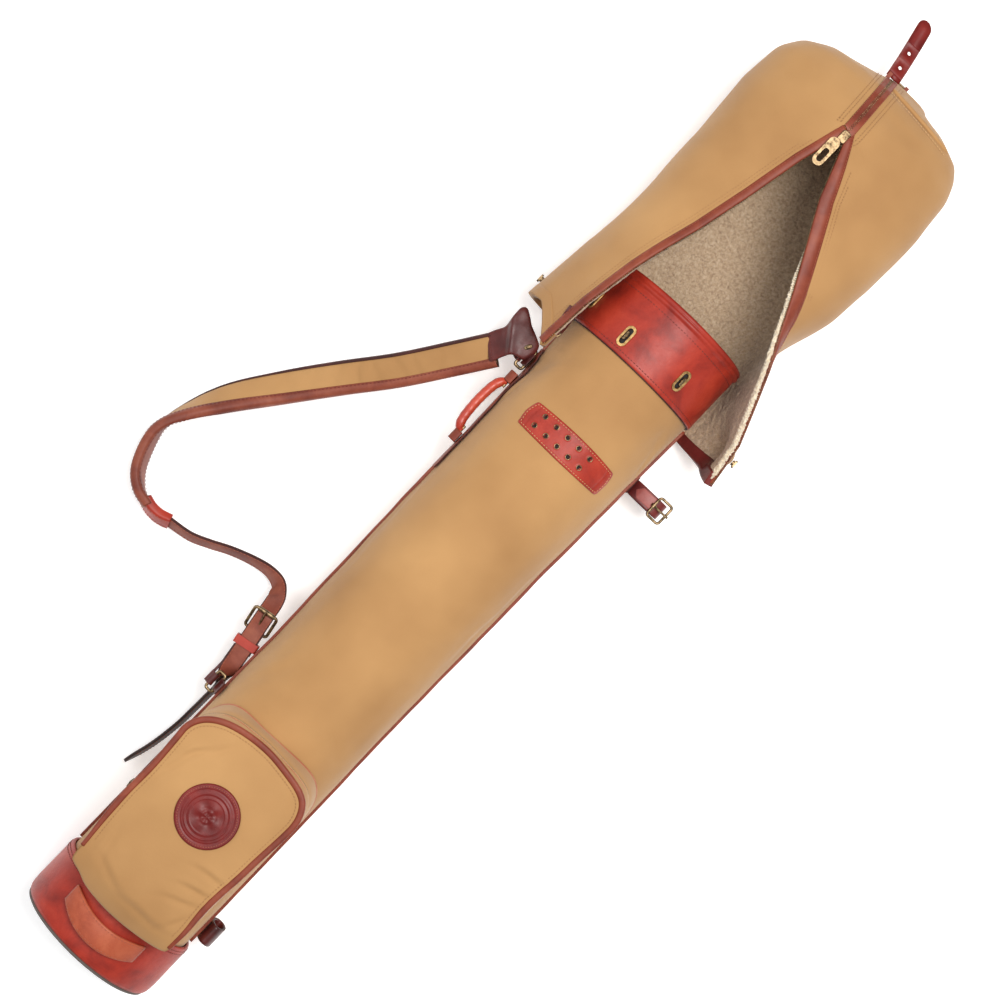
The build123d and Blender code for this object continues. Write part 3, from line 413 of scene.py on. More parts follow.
def sweep(name, p, W, Nn, prof, mats, body, closed=False, slot=None, replaces=(), scale=None, fmat=None):
    """prof: closed loop (k,2) of (width, height) offsets carried along p with axes W, Nn."""
    n, k = len(p), len(prof)
    sc = np.ones((n, 2)) if scale is None else np.asarray(scale, float)
    V = np.zeros((n, k, 3))
    for j, (a, b) in enumerate(prof):
        V[:, j] = p + W * (a * sc[:, :1]) + Nn * (b * sc[:, 1:])
    d = np.r_[0, np.cumsum(np.linalg.norm(np.diff(p, axis=0), axis=1))]
    pr = np.asarray(prof, float)
    e = np.r_[0, np.cumsum(np.linalg.norm(np.diff(pr, axis=0), axis=1))]
    uv = np.stack(np.meshgrid(d, e, indexing="ij"), -1).reshape(-1, 2)
    F = grid_faces(n, k, 0, True)
    if closed:
        for j in range(k):
            a, b = (n - 1) * k + j, (n - 1) * k + (j + 1) % k
            F.append((a, b, (j + 1) % k, j))
    nf = len(F)
    V = V.reshape(-1, 3)
    if not closed:
        c0, c1 = p[0], p[-1]
        V = np.concatenate([V, [c0, c1]])
        uv = np.concatenate([uv, [[0, 0], [d[-1], 0]]])
        for j in range(k):
            F.append((n * k, (j + 1) % k, j))
            F.append((n * k + 1, (n - 1) * k + j, (n - 1) * k + (j + 1) % k))
    fm = np.zeros(len(F), int)
    if fmat is not None:
        for i in range(nf):
            fm[i] = fmat[i % k]
        fm[nf:] = max(fmat)
    return make(name, V, F, mats, body, replaces, uv, fm)


def round_prof(w, t, r=None, k=5):
    """Rounded rectangle outline, w wide and t thick."""
    r = min(w, t) / 2 * 0.98 if r is None else min(r, w / 2, t / 2)
    out = []
    for cx, cy, a0 in ((w / 2 - r, t / 2 - r, 0), (-w / 2 + r, t / 2 - r, 90), (-w / 2 + r, -t / 2 + r, 180), (w / 2 - r, -t / 2 + r, 270)):
        for i in range(k):
            a = math.radians(a0 + 90 * i / (k - 1))
            out.append((cx + r * math.cos(a), cy + r * math.sin(a)))
    return out


def circle_prof(r, k=12):
    return [(r * math.cos(2 * math.pi * i / k), r * math.sin(2 * math.pi * i / k)) for i in range(k)]


def frame_along(p, rolls=0.0, closed=False):
    t = tangents(p, closed)
    h = np.cross([0, 0, 1.0], t)
    h /= np.maximum(np.linalg.norm(h, axis=1, keepdims=True), 1e-9)
    m = np.cross(t, h)
    r = np.radians(np.broadcast_to(rolls, (len(p),)))[:, None]
    W = h * np.cos(r) + m * np.sin(r)
    return W, np.cross(t, W)


def pipe(name, p, r, mats, body, closed=False, **kw):
    """Round bead along p with a frame that doesn't twist."""
    t = tangents(p, closed)
    a = np.array([0, 0, 1.0]) if abs(t[0][2]) < 0.9 else np.array([1.0, 0, 0])
    W = []
    w = np.cross(a, t[0])
    for k in range(len(p)):
        w = w - t[k] * np.dot(w, t[k])
        w /= np.linalg.norm(w)
        W.append(w.copy())
    W = np.array(W)
    k = 12 if np.ndim(r) == 0 and r > 1 else 10
    rr = float(r) if np.ndim(r) == 0 else 1.0
    sc = None if np.ndim(r) == 0 else np.stack([r, r], 1)
    return sweep(name, p, W, np.cross(t, W), circle_prof(rr, k), mats, body, closed, scale=sc, **kw)


def stitch_mesh(lines, pitch=4.0, length=2.9, r=0.42):
    """Short thread lengths laid along lines of (points, normals)."""
    V, F = [], []
    for p, nn in lines:
        s = np.r_[0, np.cumsum(np.linalg.norm(np.diff(p, axis=0), axis=1))]
        cnt = int(s[-1] / pitch)
        if cnt < 1:
            continue
        pos = (np.arange(cnt) + 0.5) * s[-1] / cnt
        C = np.stack([np.interp(pos, s, p[:, k]) for k in range(3)], 1)
        N = np.stack([np.interp(pos, s, nn[:, k]) for k in range(3)], 1)
        C2 = np.stack([np.interp(np.minimum(pos + 1.0, s[-1]), s, p[:, k]) for k in range(3)], 1)
        C1 = np.stack([np.interp(np.maximum(pos - 1.0, 0), s, p[:, k]) for k in range(3)], 1)
        T = C2 - C1
        T /= np.linalg.norm(T, axis=1, keepdims=True)
        N /= np.linalg.norm(N, axis=1, keepdims=True)
        B = np.cross(T, N)
        for c, t, n, b in zip(C, T, N, B):
            o = len(V)
            V.append(c - t * length / 2 - n * 0.25)
            for q, hh in ((-0.3, 0.9), (0.3, 0.9)):
                for a in range(6):
                    an = 2 * math.pi * a / 6
                    V.append(c + t * length * q + b * (r * math.cos(an)) + n * (r * hh * math.sin(an) + 0.12))
            V.append(c + t * length / 2 - n * 0.25)
            for a in range(6):
                x, y = a, (a + 1) % 6
                F.append((o, o + 1 + y, o + 1 + x))
                F.append((o + 1 + x, o + 1 + y, o + 7 + y, o + 7 + x))
                F.append((o + 13, o + 7 + x, o + 7 + y))
    return V, F


def stitches(name, lines, body, mat=None, slot=None, **kw):
    V, F = stitch_mesh(lines, **kw)
    return make(name, V, F, mat or THREAD, body)


def fan(name, outline, fn, rings, t, mats, body, replaces=(), edge_mat=None, power=1.0, inner=True):
    """A closed pad: outline (k,2) filled towards its centre; fn(a, b, f, top) -> xyz with f = 0 centre .. 1 rim."""
    k = len(outline)
    c = outline.mean(0)
    V, uv = [], []
    for top in (True, False):
        V.append(fn(c[0], c[1], 0.0, top))
        uv.append(c)
        for i in range(1, rings + 1):
            f = (i / rings) ** power
            for a, b in outline:
                q = c + (np.array([a, b]) - c) * f
                V.append(fn(q[0], q[1], f, top))
                uv.append(q)
    o = 1 + rings * k
    F, fm = [], []
    for s, base in ((1, 0), (0, o)):
        for j in range(k):
            q = (base, base + 1 + j, base + 1 + (j + 1) % k)
            F.append(q if s else q[::-1])
            fm.append(0)
        for i in range(rings - 1):
            for j in range(k):
                a, b = base + 1 + i * k + j, base + 1 + i * k + (j + 1) % k
                q = (a, a + k, b + k, b)
                F.append(q if s else q[::-1])
                fm.append(0)
    for j in range(k):
        a, b = 1 + (rings - 1) * k + j, 1 + (rings - 1) * k + (j + 1) % k
        F.append((b, a, a + o, b + o))
        fm.append(1 if edge_mat else 0)
    return make(name, V, F, [mats] + ([edge_mat] if edge_mat else []), body, replaces, np.array(uv), fm)


def nz(x, y, z, s, seed=0.0):
    return noise.noise(Vector((x * s + seed, y * s + seed * 1.7, z * s - seed)))


# ------------------------------------------------------- the tube's shape
RY = [0, 120, 400, 720, 795, 900]
RR = [76.0, 76.0, 75.0, 78.0, 80.0, 80.0]
FLY = [-20, 68, 76, 765, 801, 920]
FLZ = [3.2, 3.2, 0.0, 0.0, 8.2, 8.2]


def soft_floor(z, z0, k=1.3):
    x = (z - z0) / k
    return z0 + k * (x if x > 12 else math.log1p(math.exp(x))) - k * 0.02


DENTS = [(748, -66, 22, 13, -3.4), (772, -44, 12, 20, -2.2), (300, -70, 120, 12, -1.8), (520, 70, 130, 14, -1.4), (733, -84, 16, 9, -2.6),
         (620, -66, 60, 14, -2.0), (330, 30, 60, 26, -1.2), (764, 60, 22, 16, -2.2), (450, -20, 90, 22, 0.6), (786, 20, 7, 40, -1.0), (785, -20, 6, 24, -1.2)]


def crease(x, y, rows):
    """Short soft folds: centre, heading, length, width and depth."""
    d = 0.0
    for x0, y0, an, ln_, wd, am in rows:
        c, s_ = math.cos(math.radians(an)), math.sin(math.radians(an))
        a, b = (x - x0) * c + (y - y0) * s_, -(x - x0) * s_ + (y - y0) * c
        if abs(a) < ln_ * 2.2 and abs(b) < wd * 4:
            b += 2.0 * math.sin(a * 0.09)
            d += am * math.exp(-(a / ln_) ** 2) * (0.55 * math.exp(-((b - wd * 1.7) / wd) ** 2) - math.exp(-(b / wd) ** 2))
    return d


TUBE_FOLDS = [(-86, 752, 22, 20, 4.0, 2.2), (-70, 766, 10, 22, 4.5, 1.8), (-92, 738, 40, 16, 3.5, 1.6), (-100, 700, 80, 26, 4.0, 1.2), (84, 770, -25, 20, 4.0, 1.5), (96, 742, -60, 22, 4.5, 1.2),
              (-60, 330, 60, 30, 6.0, 1.3), (-30, 318, 20, 30, 6.0, 1.0), (60, 320, -30, 28, 5.5, 1.2), (100, 520, 84, 60, 6.0, 1.0), (-102, 520, 96, 60, 6.0, 1.0), (20, 786, 2, 40, 3.0, 0.9)]


def T(y, phi, dr=0.0, rough=1.0):
    a = math.radians(phi)
    r = lerp1(y, RY, RR)
    w = min(1.0, max(0.0, (y - 285) / 60)) * min(1.0, max(0.0, (800 - y) / 30))
    d = 0.0
    for y0, p0, sy, sp, am in DENTS:
        d += am * math.exp(-((y - y0) / sy) ** 2 - ((phi - p0) / sp) ** 2)
    d += 1.1 * noise.noise(Vector((math.sin(a) * 1.6, y * 0.011, math.cos(a) * 1.6)))
    d += 0.45 * noise.noise(Vector((math.sin(a) * 5 + 7, y * 0.035, math.cos(a) * 5)))
    d += crease(phi * 1.34, y, TUBE_FOLDS)
    r = r + dr + min(0.9, d) * w * rough
    x, z = r * math.sin(a), ZC + r * math.cos(a)
    f = lerp1(y, FLY, FLZ)
    return (x, y, soft_floor(z, f - min(dr, 0) * (1 if dr < 0 else 0)))


def on_T(ys, phis, dr=0.0, rough=1.0):
    return np.array([[T(y, p, dr, rough) for p in phis] for y in ys])


PH = np.linspace(-180, 180, 181)[:-1]
P = on_T(np.r_[np.linspace(62, 280, 24), np.linspace(286, 812, 96)], PH)
sheet("tube_canvas", P[:, ::-1], 2.2, CANVAS, "bag", wrap=True, flip=False, replaces=("body_tube",), inner_mat=CANVAS_IN)

# side welts: a leather flange standing out of each seam, stitched
for sgn, nm in ((-1, "left"), (1, "right")):
    ys = np.linspace(74, 797, 150) if sgn > 0 else np.linspace(74, 797, 150)
    a0 = -88.0 if sgn < 0 else 88.0
    p = np.array([T(y, a0, 1.2 + 0.35 * noise.noise(Vector((y * 0.03, sgn, 0)))) for y in ys])
    Wd = np.tile([math.sin(math.radians(a0)), 0, math.cos(math.radians(a0))], (len(ys), 1))
    Nd = np.cross(tangents(p), Wd)
    sweep("welt_" + nm, p, Wd, Nd, round_prof(3.6, 2.4, 1.1, 4), [RUST], "bag", slot="leather_rust", replaces=("side_welts",))
    ln = []
    for off in (12.0, -12.0):
        q = np.array([T(y, a0 - sgn * (2.6 if off > 0 else -2.6), 0.15) for y in ys])
        qn = q - np.array([[0, y, ZC] for y in ys])
        qn[:, 1] = 0
        ln.append((q, qn))
    stitches("welt_thread_" + nm, ln, "bag", THREAD_RED, pitch=4.6)

# ------------------------------------------------------------------- base
def rev(profile, floor_z, phis=PH, wob=0.0, seed=0.0):
    out = []
    for y, r in profile:
        row = []
        for p in phis:
            a = math.radians(p)
            rr = r + wob * noise.noise(Vector((math.sin(a) * 2.2 + seed, y * 0.02, math.cos(a) * 2.2)))
            row.append((rr * math.sin(a), y, soft_floor(ZC + rr * math.cos(a), floor_z, 0.8)))
        out.append(row)
    return np.array(out)


prof = [(3.2, 76.4), (3.4, 78.2), (4.6, 79.4), (7, 80.4), (11, 81.0), (18, 81.4), (30, 81.3), (44, 81.2), (56, 81.2), (63, 80.9), (66.5, 80.4), (67.6, 79.2), (67.8, 77.4), (67.0, 76.9), (60, 76.8)]
sheet("boot", rev(prof, 0.15, wob=0.5)[:, ::-1], 0.3, RED, "bag", wrap=True, replaces=("base_boot",), edge_mat=EDGE)
ln = []
for yy in (60.5, 64.0):
    q = np.array([((81.15 if yy < 62 else 80.95) * math.sin(math.radians(p)), yy, ZC + (81.15 if yy < 62 else 80.95) * math.cos(math.radians(p))) for p in np.linspace(-150, 150, 160)])
    ln.append((q, q - np.array([0, yy, ZC])))
stitches("boot_thread", ln, "bag", THREAD_DK, slot="leather_red", pitch=4.2)
# sole edge: stacked grey rand and the sole's face
prof = [(0.1, 74.0), (0.0, 76.6), (0.8, 78.0), (2.0, 78.4), (3.0, 78.2), (3.4, 77.0)]
sheet("sole_rand", rev(prof, 0.15)[:, ::-1], 0.6, SOLE, "bag", wrap=True, replaces=("base_rim_welt",))
th = np.radians(PH[::2])
out = np.array([(74.6 * math.sin(a), max(ZC + 74.6 * math.cos(a), 1.0)) for a in th])


def sole_fn(x, z, f, top):
    g = 0.5 * math.sin(f * 42) * (f < 0.93)
    return (x, 0.35 + 0.25 * g if top else 3.6, z)


fan("sole_face", out, sole_fn, 26, 3, SOLE, "bag", replaces=("base_sole",))

# grab strap over the front of the boot
xs = np.linspace(-1, 1, 61)
p = np.array([(2 + 45 * x, 44 - 9 * (1 - x * x) ** 1.0, (ZC + math.sqrt(max(81.6 ** 2 - (2 + 45 * x) ** 2, 0))) + 1.6 + 8.5 * (1 - x * x) ** 0.8) for x in xs])
W_, N_ = frame_along(p, 0)
W_ = np.tile([0, 1.0, 0], (len(p), 1))
N_ = np.cross(tangents(p), W_)
N_[N_[:, 2] < 0] *= -1
sc = np.stack([1.0 - 0.18 * np.abs(xs) ** 3, np.ones(61)], 1)
sweep("grab_strap", p, W_, N_, round_prof(25, 3.2, 1.5, 4), [ORANGE], "bag", slot="leather_red", replaces=("base_grab_strap",), scale=sc)
ln = []
for off in (-10.0, 10.0):
    ln.append((p[3:-3] + W_[3:-3] * off * sc[3:-3, :1] + N_[3:-3] * 1.55, N_[3:-3]))
stitches("grab_strap_thread", ln, "bag", THREAD_RED, slot="leather_red", pitch=4.0)

# ------------------------------------------------------------------- cuff
prof = [(801.2, 81.0), (801.0, 82.2), (801.8, 82.9), (804, 83.0), (812, 82.9), (830, 82.8), (850, 82.9), (862, 83.0), (866, 82.9),
        (867.2, 82.6), (868.2, 83.6), (869.6, 84.7), (871.4, 84.9), (872.8, 84.0), (873.4, 83.2), (874.2, 83.7), (875.6, 84.0), (877.2, 83.2),
        (878.2, 81.6), (878.4, 79.8), (877.6, 78.2), (875.6, 77.2), (872, 77.0), (866, 77.0), (850, 77.1)]
P = rev(prof, 5.9, wob=0.7, seed=3.0)
for i in range(len(prof)):
    if i >= 19:
        P[i, :, 2] = [soft_floor(z, 5.9 + 5.8, 0.8) for z in P[i, :, 2]]
sheet("cuff", P[:, ::-1], 0.3, RED, "bag", wrap=True, replaces=("top_cuff", "cuff_rim"), edge_mat=EDGE)
prof = [(800.6, 80.4), (799.8, 81.2), (799.8, 82.0), (800.8, 82.4), (801.6, 81.6)]
sheet("cuff_piping", rev(prof, 6.4, wob=0.2)[:, ::-1], 0.5, EDGE, "bag", wrap=True)
ln = []
for yy, rr in ((805.6, 83.0), (861.5, 83.0)):
    q = np.array([(rr * math.sin(math.radians(a)), yy, ZC + rr * math.cos(math.radians(a))) for a in np.linspace(-110, 110, 140)])
    ln.append((q, q - np.array([0, yy, ZC])))
stitches("cuff_thread", ln, "bag", THREAD_DK, slot="leather_red", pitch=3.8, r=0.36)
# dark ovals laid on the cuff: painted shade for the inside of each turn-lock slot
for i, (phi, y) in enumerate([(-65.0, 830.0), (-19.4, 820.0), (30.2, 826.0)]):
    a = math.radians(phi)
    c = np.array([math.sin(a) * 83.28, y, ZC + math.cos(a) * 83.28])
    e, n_ = np.array([math.cos(a), 0, -math.sin(a)]), np.array([math.sin(a), 0, math.cos(a)])
    ol = np.array([(9.4 * abs(math.cos(t)) ** 0.6 * (1 if math.cos(t) > 0 else -1)  , 3.2 * math.sin(t)) for t in np.linspace(0, 2 * math.pi, 33)[:-1]])
    fan("turn_slot_%d" % i, ol, lambda u, v, f, top, c=c, e=e, n_=n_: tuple(c + np.array([0, u, 0]) + e * v + n_ * (0.35 - 0.5 * (1 - f) if top else -0.4)), 3, 1, HOLE_SHADE, "bag")
# throat: lined wall, hoop and divider
prof = [(14, 72.2), (80, 72.3), (200, 71.6), (400, 69.8), (690, 70.6), (720, 70.2), (752, 70.2), (780, 72.8), (800, 76.0), (840, 76.35), (868, 76.4)]
P = rev(prof, 5.0)
for i, (y, r) in enumerate(prof):
    P[i, :, 2] = [soft_floor(z, lerp1(y, FLY, FLZ) + 3.8, 0.8) for z in P[i, :, 2]]
sheet("throat_lining", P[:, ::-1], 0.3, LINER, "bag", wrap=True, replaces=("body_liner", "cuff_hoop"))
p = np.stack([np.linspace(-76.3, 76.3, 60), np.full(60, 857.0), ZC + 1.2 * np.sin(np.linspace(0, math.pi, 60))], 1)
pipe("divider", p, 4.8 + 0.25 * np.sin(np.linspace(0, 40, 60)), [DARK], "bag", slot="leather_dark", replaces=("divider_bar",))

# ------------------------------------------------------------- tee holder
oc = catmull([(-47.5, 685.5), (-48.3, 690), (-49.5, 700), (-47.5, 710), (-46, 713.6), (-42, 714.4), (-20, 715.6), (5, 716.2), (32, 715.8), (54, 714.4), (58.2, 713.2), (59.8, 709),
              (61.0, 700), (60.6, 691), (59.6, 686.6), (56, 685.4), (32, 684.3), (5, 683.8), (-22, 684.2), (-44, 685)], 150, True)
HOLES = [(-34 + 15.2 * i + (0 if j else 2), 707.5 - 13.6 * j) for i in range(5) for j in range(2)]


def tee_fn(x, y, f, top):
    phi = math.degrees(math.asin(max(-0.95, min(0.95, x / 80.0))))
    if not top:
        return T(y, phi, 0.05)
    h = 2.0 - 1.0 * max(0, f - 0.94) / 0.06 + 0.5 * math.exp(-((f - 0.88) / 0.03) ** 2) * 0 - 0.35 * math.exp(-((f - 0.86) / 0.02) ** 2)
    for hx, hy in HOLES:
        d = math.hypot(x - hx - 1.5, y - hy)
        if d < 2.1:
            h -= 1.7
        elif d < 3.6:
            h += 0.5 * math.cos((d - 2.85) / 0.75 * math.pi / 2)
    return T(y, phi, h)


# a fine grid inside the outline, warped to it
def warp_patch(name, outline, nu, nv, fn, mats, body, replaces, edge_mat=None, dark=None):
    """Grid patch: each row runs between the outline's left and right sides."""
    k = len(outline)
    ys = outline[:, 1]
    y0, y1 = ys.min() + 1e-3, ys.max() - 1e-3
    c = outline.mean(0)
    A = np.zeros((nv, nu, 2))
    ang = np.arctan2(outline[:, 1] - c[1], outline[:, 0] - c[0])
    rad = np.linalg.norm(outline - c, axis=1)
    order = np.argsort(ang)
    ang, rad = ang[order], rad[order]
    ang = np.r_[ang[-1] - 2 * np.pi, ang, ang[0] + 2 * np.pi]
    rad = np.r_[rad[-1], rad, rad[0]]
    hw, hh = (outline[:, 0].max() - outline[:, 0].min()) / 2, (outline[:, 1].max() - outline[:, 1].min()) / 2
    Fm = np.zeros((nv, nu))
    for i in range(nv):
        for j in range(nu):
            u, v = -1 + 2 * j / (nu - 1), -1 + 2 * i / (nv - 1)
            x, y = u * hw, v * hh
            m = max(abs(u), abs(v))
            if m < 1e-9:
                A[i, j] = c
                continue
            an = math.atan2(y, x)
            edge = math.hypot(x, y) / m
            rr = np.interp(an, ang, rad)
            kk = 1 + (rr / edge - 1) * m ** 3
            A[i, j] = c + np.array([x, y]) * kk
            Fm[i, j] = m
    V = [fn(a[0], a[1], f, True) for a, f in zip(A.reshape(-1, 2), Fm.ravel())]
    V += [fn(a[0], a[1], f, False) for a, f in zip(A.reshape(-1, 2), Fm.ravel())]
    F = grid_faces(nv, nu)
    n1 = len(F)
    fm = [0] * n1
    # faces the dark mask picks take the near-black hole material: painted shade
    if dark is not None:
        for q in range(n1):
            i, j = divmod(q, nu - 1)
            a = (A[i, j] + A[i + 1, j + 1]) / 2
            if dark(a[0], a[1]):
                fm[q] = 2 if edge_mat else 1
    o = nu * nv
    F += grid_faces(nv, nu, o, flip=True)
    fm += [0] * n1
    rim = [j for j in range(nu)] + [i * nu + nu - 1 for i in range(1, nv)] + [(nv - 1) * nu + j for j in range(nu - 2, -1, -1)] + [i * nu for i in range(nv - 2, 0, -1)]
    for a, b in zip(rim, rim[1:] + rim[:1]):
        F.append((b, a, a + o, b + o))
        fm.append(1 if edge_mat else 0)
    mm = [mats] + ([edge_mat] if edge_mat else []) + ([HOLE_SHADE] if dark is not None else [])
    return make(name, V, F, mm, body, replaces, np.concatenate([A.reshape(-1, 2)] * 2), fm)


# faces inside each tee hole get the near-black hole material: painted shade in the holes, over a shallow dip
warp_patch("tee_patch", oc, 150, 44, tee_fn, RED, "bag", ("tee_holder_patch",), EDGE,
           dark=lambda x, y: any(math.hypot(x - hx - 1.5, y - hy) < 1.9 for hx, hy in HOLES))
V, F = [], []
for hx, hy in HOLES:
    hx += 1.5
    o = len(V)
    for a in range(16):
        t = 2 * math.pi * a / 16
        for b in range(6):
            u = 2 * math.pi * b / 6
            rr = 2.55 + 0.5 * math.cos(u)
            x, y = hx + rr * math.cos(t), hy + rr * math.sin(t)
            V.append(T(y, math.degrees(math.asin(max(-0.95, min(0.95, x / 80.0)))), 2.35 + 0.45 * math.sin(u)))
    for a in range(16):
        for b in range(6):
            F.append((o + a * 6 + b, o + ((a + 1) % 16) * 6 + b, o + ((a + 1) % 16) * 6 + (b + 1) % 6, o + a * 6 + (b + 1) % 6))
make("tee_hole_rims", V, F, BRASS, "bag")
q2 = oc.mean(0) + (oc - oc.mean(0)) * np.array([0.955, 0.86])
q2 = np.concatenate([q2, q2[:1]])
q = np.array([tee_fn(a, b, 0.5, True) for a, b in q2])
stitches("tee_thread", [(q, q - np.array([[0, y, ZC] for y in q[:, 1]]))], "bag", THREAD, slot="leather_red", pitch=3.4, length=2.2, r=0.30)

# ------------------------------------------------------------ ball pocket
FACE = catmull([(-65.5, 79.5), (-62.0, 75.5), (-52, 72), (-36, 65.0), (-10, 61.5), (16, 62.5), (42, 66.5), (59.5, 71.5), (63.0, 76), (63.6, 88), (63.8, 104), (62.4, 125), (62.4, 144), (65.2, 179), (66.2, 200),
                (68.8, 240), (67.6, 256), (61.0, 269.5), (50, 277), (30, 281.5), (3.7, 284.6), (-22, 283.0), (-45.0, 277.5), (-60.0, 269.5), (-69.0, 260), (-73.6, 248), (-73.0, 234), (-71.0, 197), (-71.6, 162), (-70.0, 130), (-67.6, 104)], 220, True)
ROOT = catmull([(-60, 82), (-52, 78), (-28, 73), (4, 71), (36, 73), (56, 77), (63, 84), (66, 118), (69, 170), (71.5, 228), (69.5, 262), (57, 283), (34, 291),
                (-14, 291), (-50, 287), (-67, 266), (-71, 228), (-69, 180), (-63, 125)], 220, True)


def tube_z(x, y):
    r = 76.0 if y > 68 else 81.6
    return ZC + math.sqrt(max(r * r - x * x, 60.0))


POCKET_FOLDS = [(-46, 240, 62, 20, 3.2, 1.8), (-32, 254, 74, 17, 3.0, 1.4), (-56, 215, 80, 20, 3.2, 1.3), (48, 158, 14, 22, 3.4, 1.7), (46, 138, 22, 20, 3.2, 1.8), (40, 120, 30, 22, 3.2, 1.4),
                (-48, 112, 110, 20, 4.0, 1.2), (22, 84, 8, 30, 4.0, 1.2), (-30, 92, -14, 24, 4.0, 1.2), (54, 262, -50, 16, 3.2, 1.3), (50, 100, 70, 16, 3.0, 1.0)]


def face_z(x, y, f):
    dome = 1 - f ** 3.2
    low = max(0.0, (100 - y) / 42.0)
    z = 187.0 + 4.2 * dome - 16.0 * low ** 2.0
    z += 1.1 * noise.noise(Vector((x * 0.022, y * 0.016, 3.1))) * (0.35 + 0.65 * (1 - f))
    z += 0.9 * noise.noise(Vector((x * 0.05 + 3, y * 0.035, 1.1))) * max(0, (x + 20) / 90) * (1 - 0.5 * f)
    z += crease(x, y, POCKET_FOLDS) * min(1.0, (1.02 - f) / 0.16)
    return z


def pocket_face(x, y, f, top):
    return (x, y, face_z(x, y, f) if top else 182.0 - 13 * max(0.0, (100 - y) / 42.0) ** 2.0)


fan("pocket_face", FACE, pocket_face, 46, 3, CANVAS, "bag", replaces=("pocket_front",), power=0.9)
# gusset: from under the face's rim down to the tube, puffed a little
n = 26
Pg = np.zeros((n, 220, 3))
c_ = FACE.mean(0)
for j in range(220):
    fx, fy = FACE[j]
    rx_, ry_ = ROOT[j]
    z0 = pocket_face(fx, fy, 1.0, True)[2] - 1.5
    z1 = tube_z(rx_, ry_) - 0.5
    d = np.array([fx, fy]) - c_
    d /= np.linalg.norm(d)
    for i in range(n):
        s = i / (n - 1)
        bul = 2.6 * math.sin(math.pi * s) + 1.0 * noise.noise(Vector((fx * 0.04, fy * 0.04, s * 2.4))) * math.sin(math.pi * s)
        bul -= 1.6 * math.exp(-((s - 0.40) / 0.07) ** 2) * (1 if (fx < -30 and fy > 118) or fy > 262 else 0)
        x, y = fx + (rx_ - fx) * s, fy + (ry_ - fy) * s
        Pg[i, j] = (x + d[0] * bul * 0.6 - d[0] * 1.5 * (1 - s), y + d[1] * bul * 0.6 - d[1] * 1.5 * (1 - s), z0 + (z1 - z0) * s)
sheet("pocket_gusset_cloth", Pg, 2.0, CANVAS, "bag", wrap=True, flip=True, replaces=("pocket_gusset",))
# leather piping: left, over the top, right; none along the bottom
ang = np.arange(220)
start = int(np.argmin(np.linalg.norm(FACE - np.array([63, 80]), axis=1)))
end = int(np.argmin(np.linalg.norm(FACE - np.array([-67, 92]), axis=1)))
idx = [(start + k) % 220 for k in range(((end - start) % 220) + 1)]
p = np.array([[FACE[j][0], FACE[j][1], pocket_face(FACE[j][0], FACE[j][1], 1.0, True)[2] - 0.3] for j in idx])
p = catmull(p[::3], 260)
tt = tangents(p)
nrm = np.cross(tt, [0, 0, 1.0])
W_ = nrm / np.linalg.norm(nrm, axis=1, keepdims=True)
N_ = np.tile([0, 0, 1.0], (len(p), 1))
fade = np.clip(np.minimum(np.arange(260), 259 - np.arange(260)) / 26.0, 0.25, 1)
sweep("pocket_piping", p, W_, N_, round_prof(6.8, 5.2, 2.5, 6), [RUST], "bag", slot="leather_rust", replaces=("pocket_piping_front",), scale=np.stack([0.55 + 0.45 * fade, fade * 0.4 + 0.6], 1))
sgn = 1 if np.dot(W_[100][:2], p[100][:2] - c_) > 0 else -1
ln = [(p[6:-6] - W_[6:-6] * sgn * 6.2 + N_[6:-6] * 1.6, N_[6:-6])]
stitches("pocket_piping_thread", ln, "bag", THREAD_CV, slot="leather_rust", pitch=3.4, length=2.3, r=0.28)
p = np.array([[ROOT[j][0] * 1.012, ROOT[j][1] + (0.8 if ROOT[j][1] > 180 else 0), tube_z(ROOT[j][0] * 1.012, ROOT[j][1]) + 1.4] for j in idx])
p = catmull(p[::3], 240)
pipe("pocket_root_piping", p, 1.7, [SALMON], "bag", slot="leather_rust", replaces=("pocket_piping_back",))
# zip: dark tape sunk in the gusset, a row of teeth each side of its middle
zi = [j for j in idx if (FACE[j][0] < -30 and FACE[j][1] > 124) or (FACE[j][1] > 262 and FACE[j][0] < 60)]
zi = sorted(zi, key=lambda j: (j - start) % 220)
zp = catmull(np.array([Pg[10, j] for j in zi])[::2], 200)
zt = tangents(zp)
zw = np.array([0, 0, 1.0]) - zt * zt[:, 2:3]
zw /= np.linalg.norm(zw, axis=1, keepdims=True)
zn = np.cross(zt, zw)
for k in range(len(zn)):
    if np.dot(zn[k][:2], zp[k][:2] - c_) < 0:
        zn[k] *= -1
sweep("pocket_zip_cloth", zp + zn * 0.6, zw, zn, round_prof(13, 1.6, 0.7, 3), [SALMON], "bag", slot="leather_rust", replaces=("pocket_zip_tape",))
V, F = stitch_mesh([(zp + zn * 1.5 + zw * 1.1, zn), (zp + zn * 1.5 - zw * 1.1, zn)], pitch=2.2, length=1.3, r=0.8)
make("pocket_zip_teeth", V, F, BRASS, "bag")
ln = [(zp + zn * 1.4 + zw * 5.2, zn), (zp + zn * 1.4 - zw * 5.2, zn)]
stitches("pocket_zip_thread", ln, "bag", THREAD, slot="canvas", pitch=3.6, r=0.32)

# round leather patch with a generic embossed rosette
oc = np.array([(1.7 + 32.4 * math.cos(t), 199 + 32.4 * math.sin(t)) for t in np.linspace(0, 2 * math.pi, 181)[:-1]])


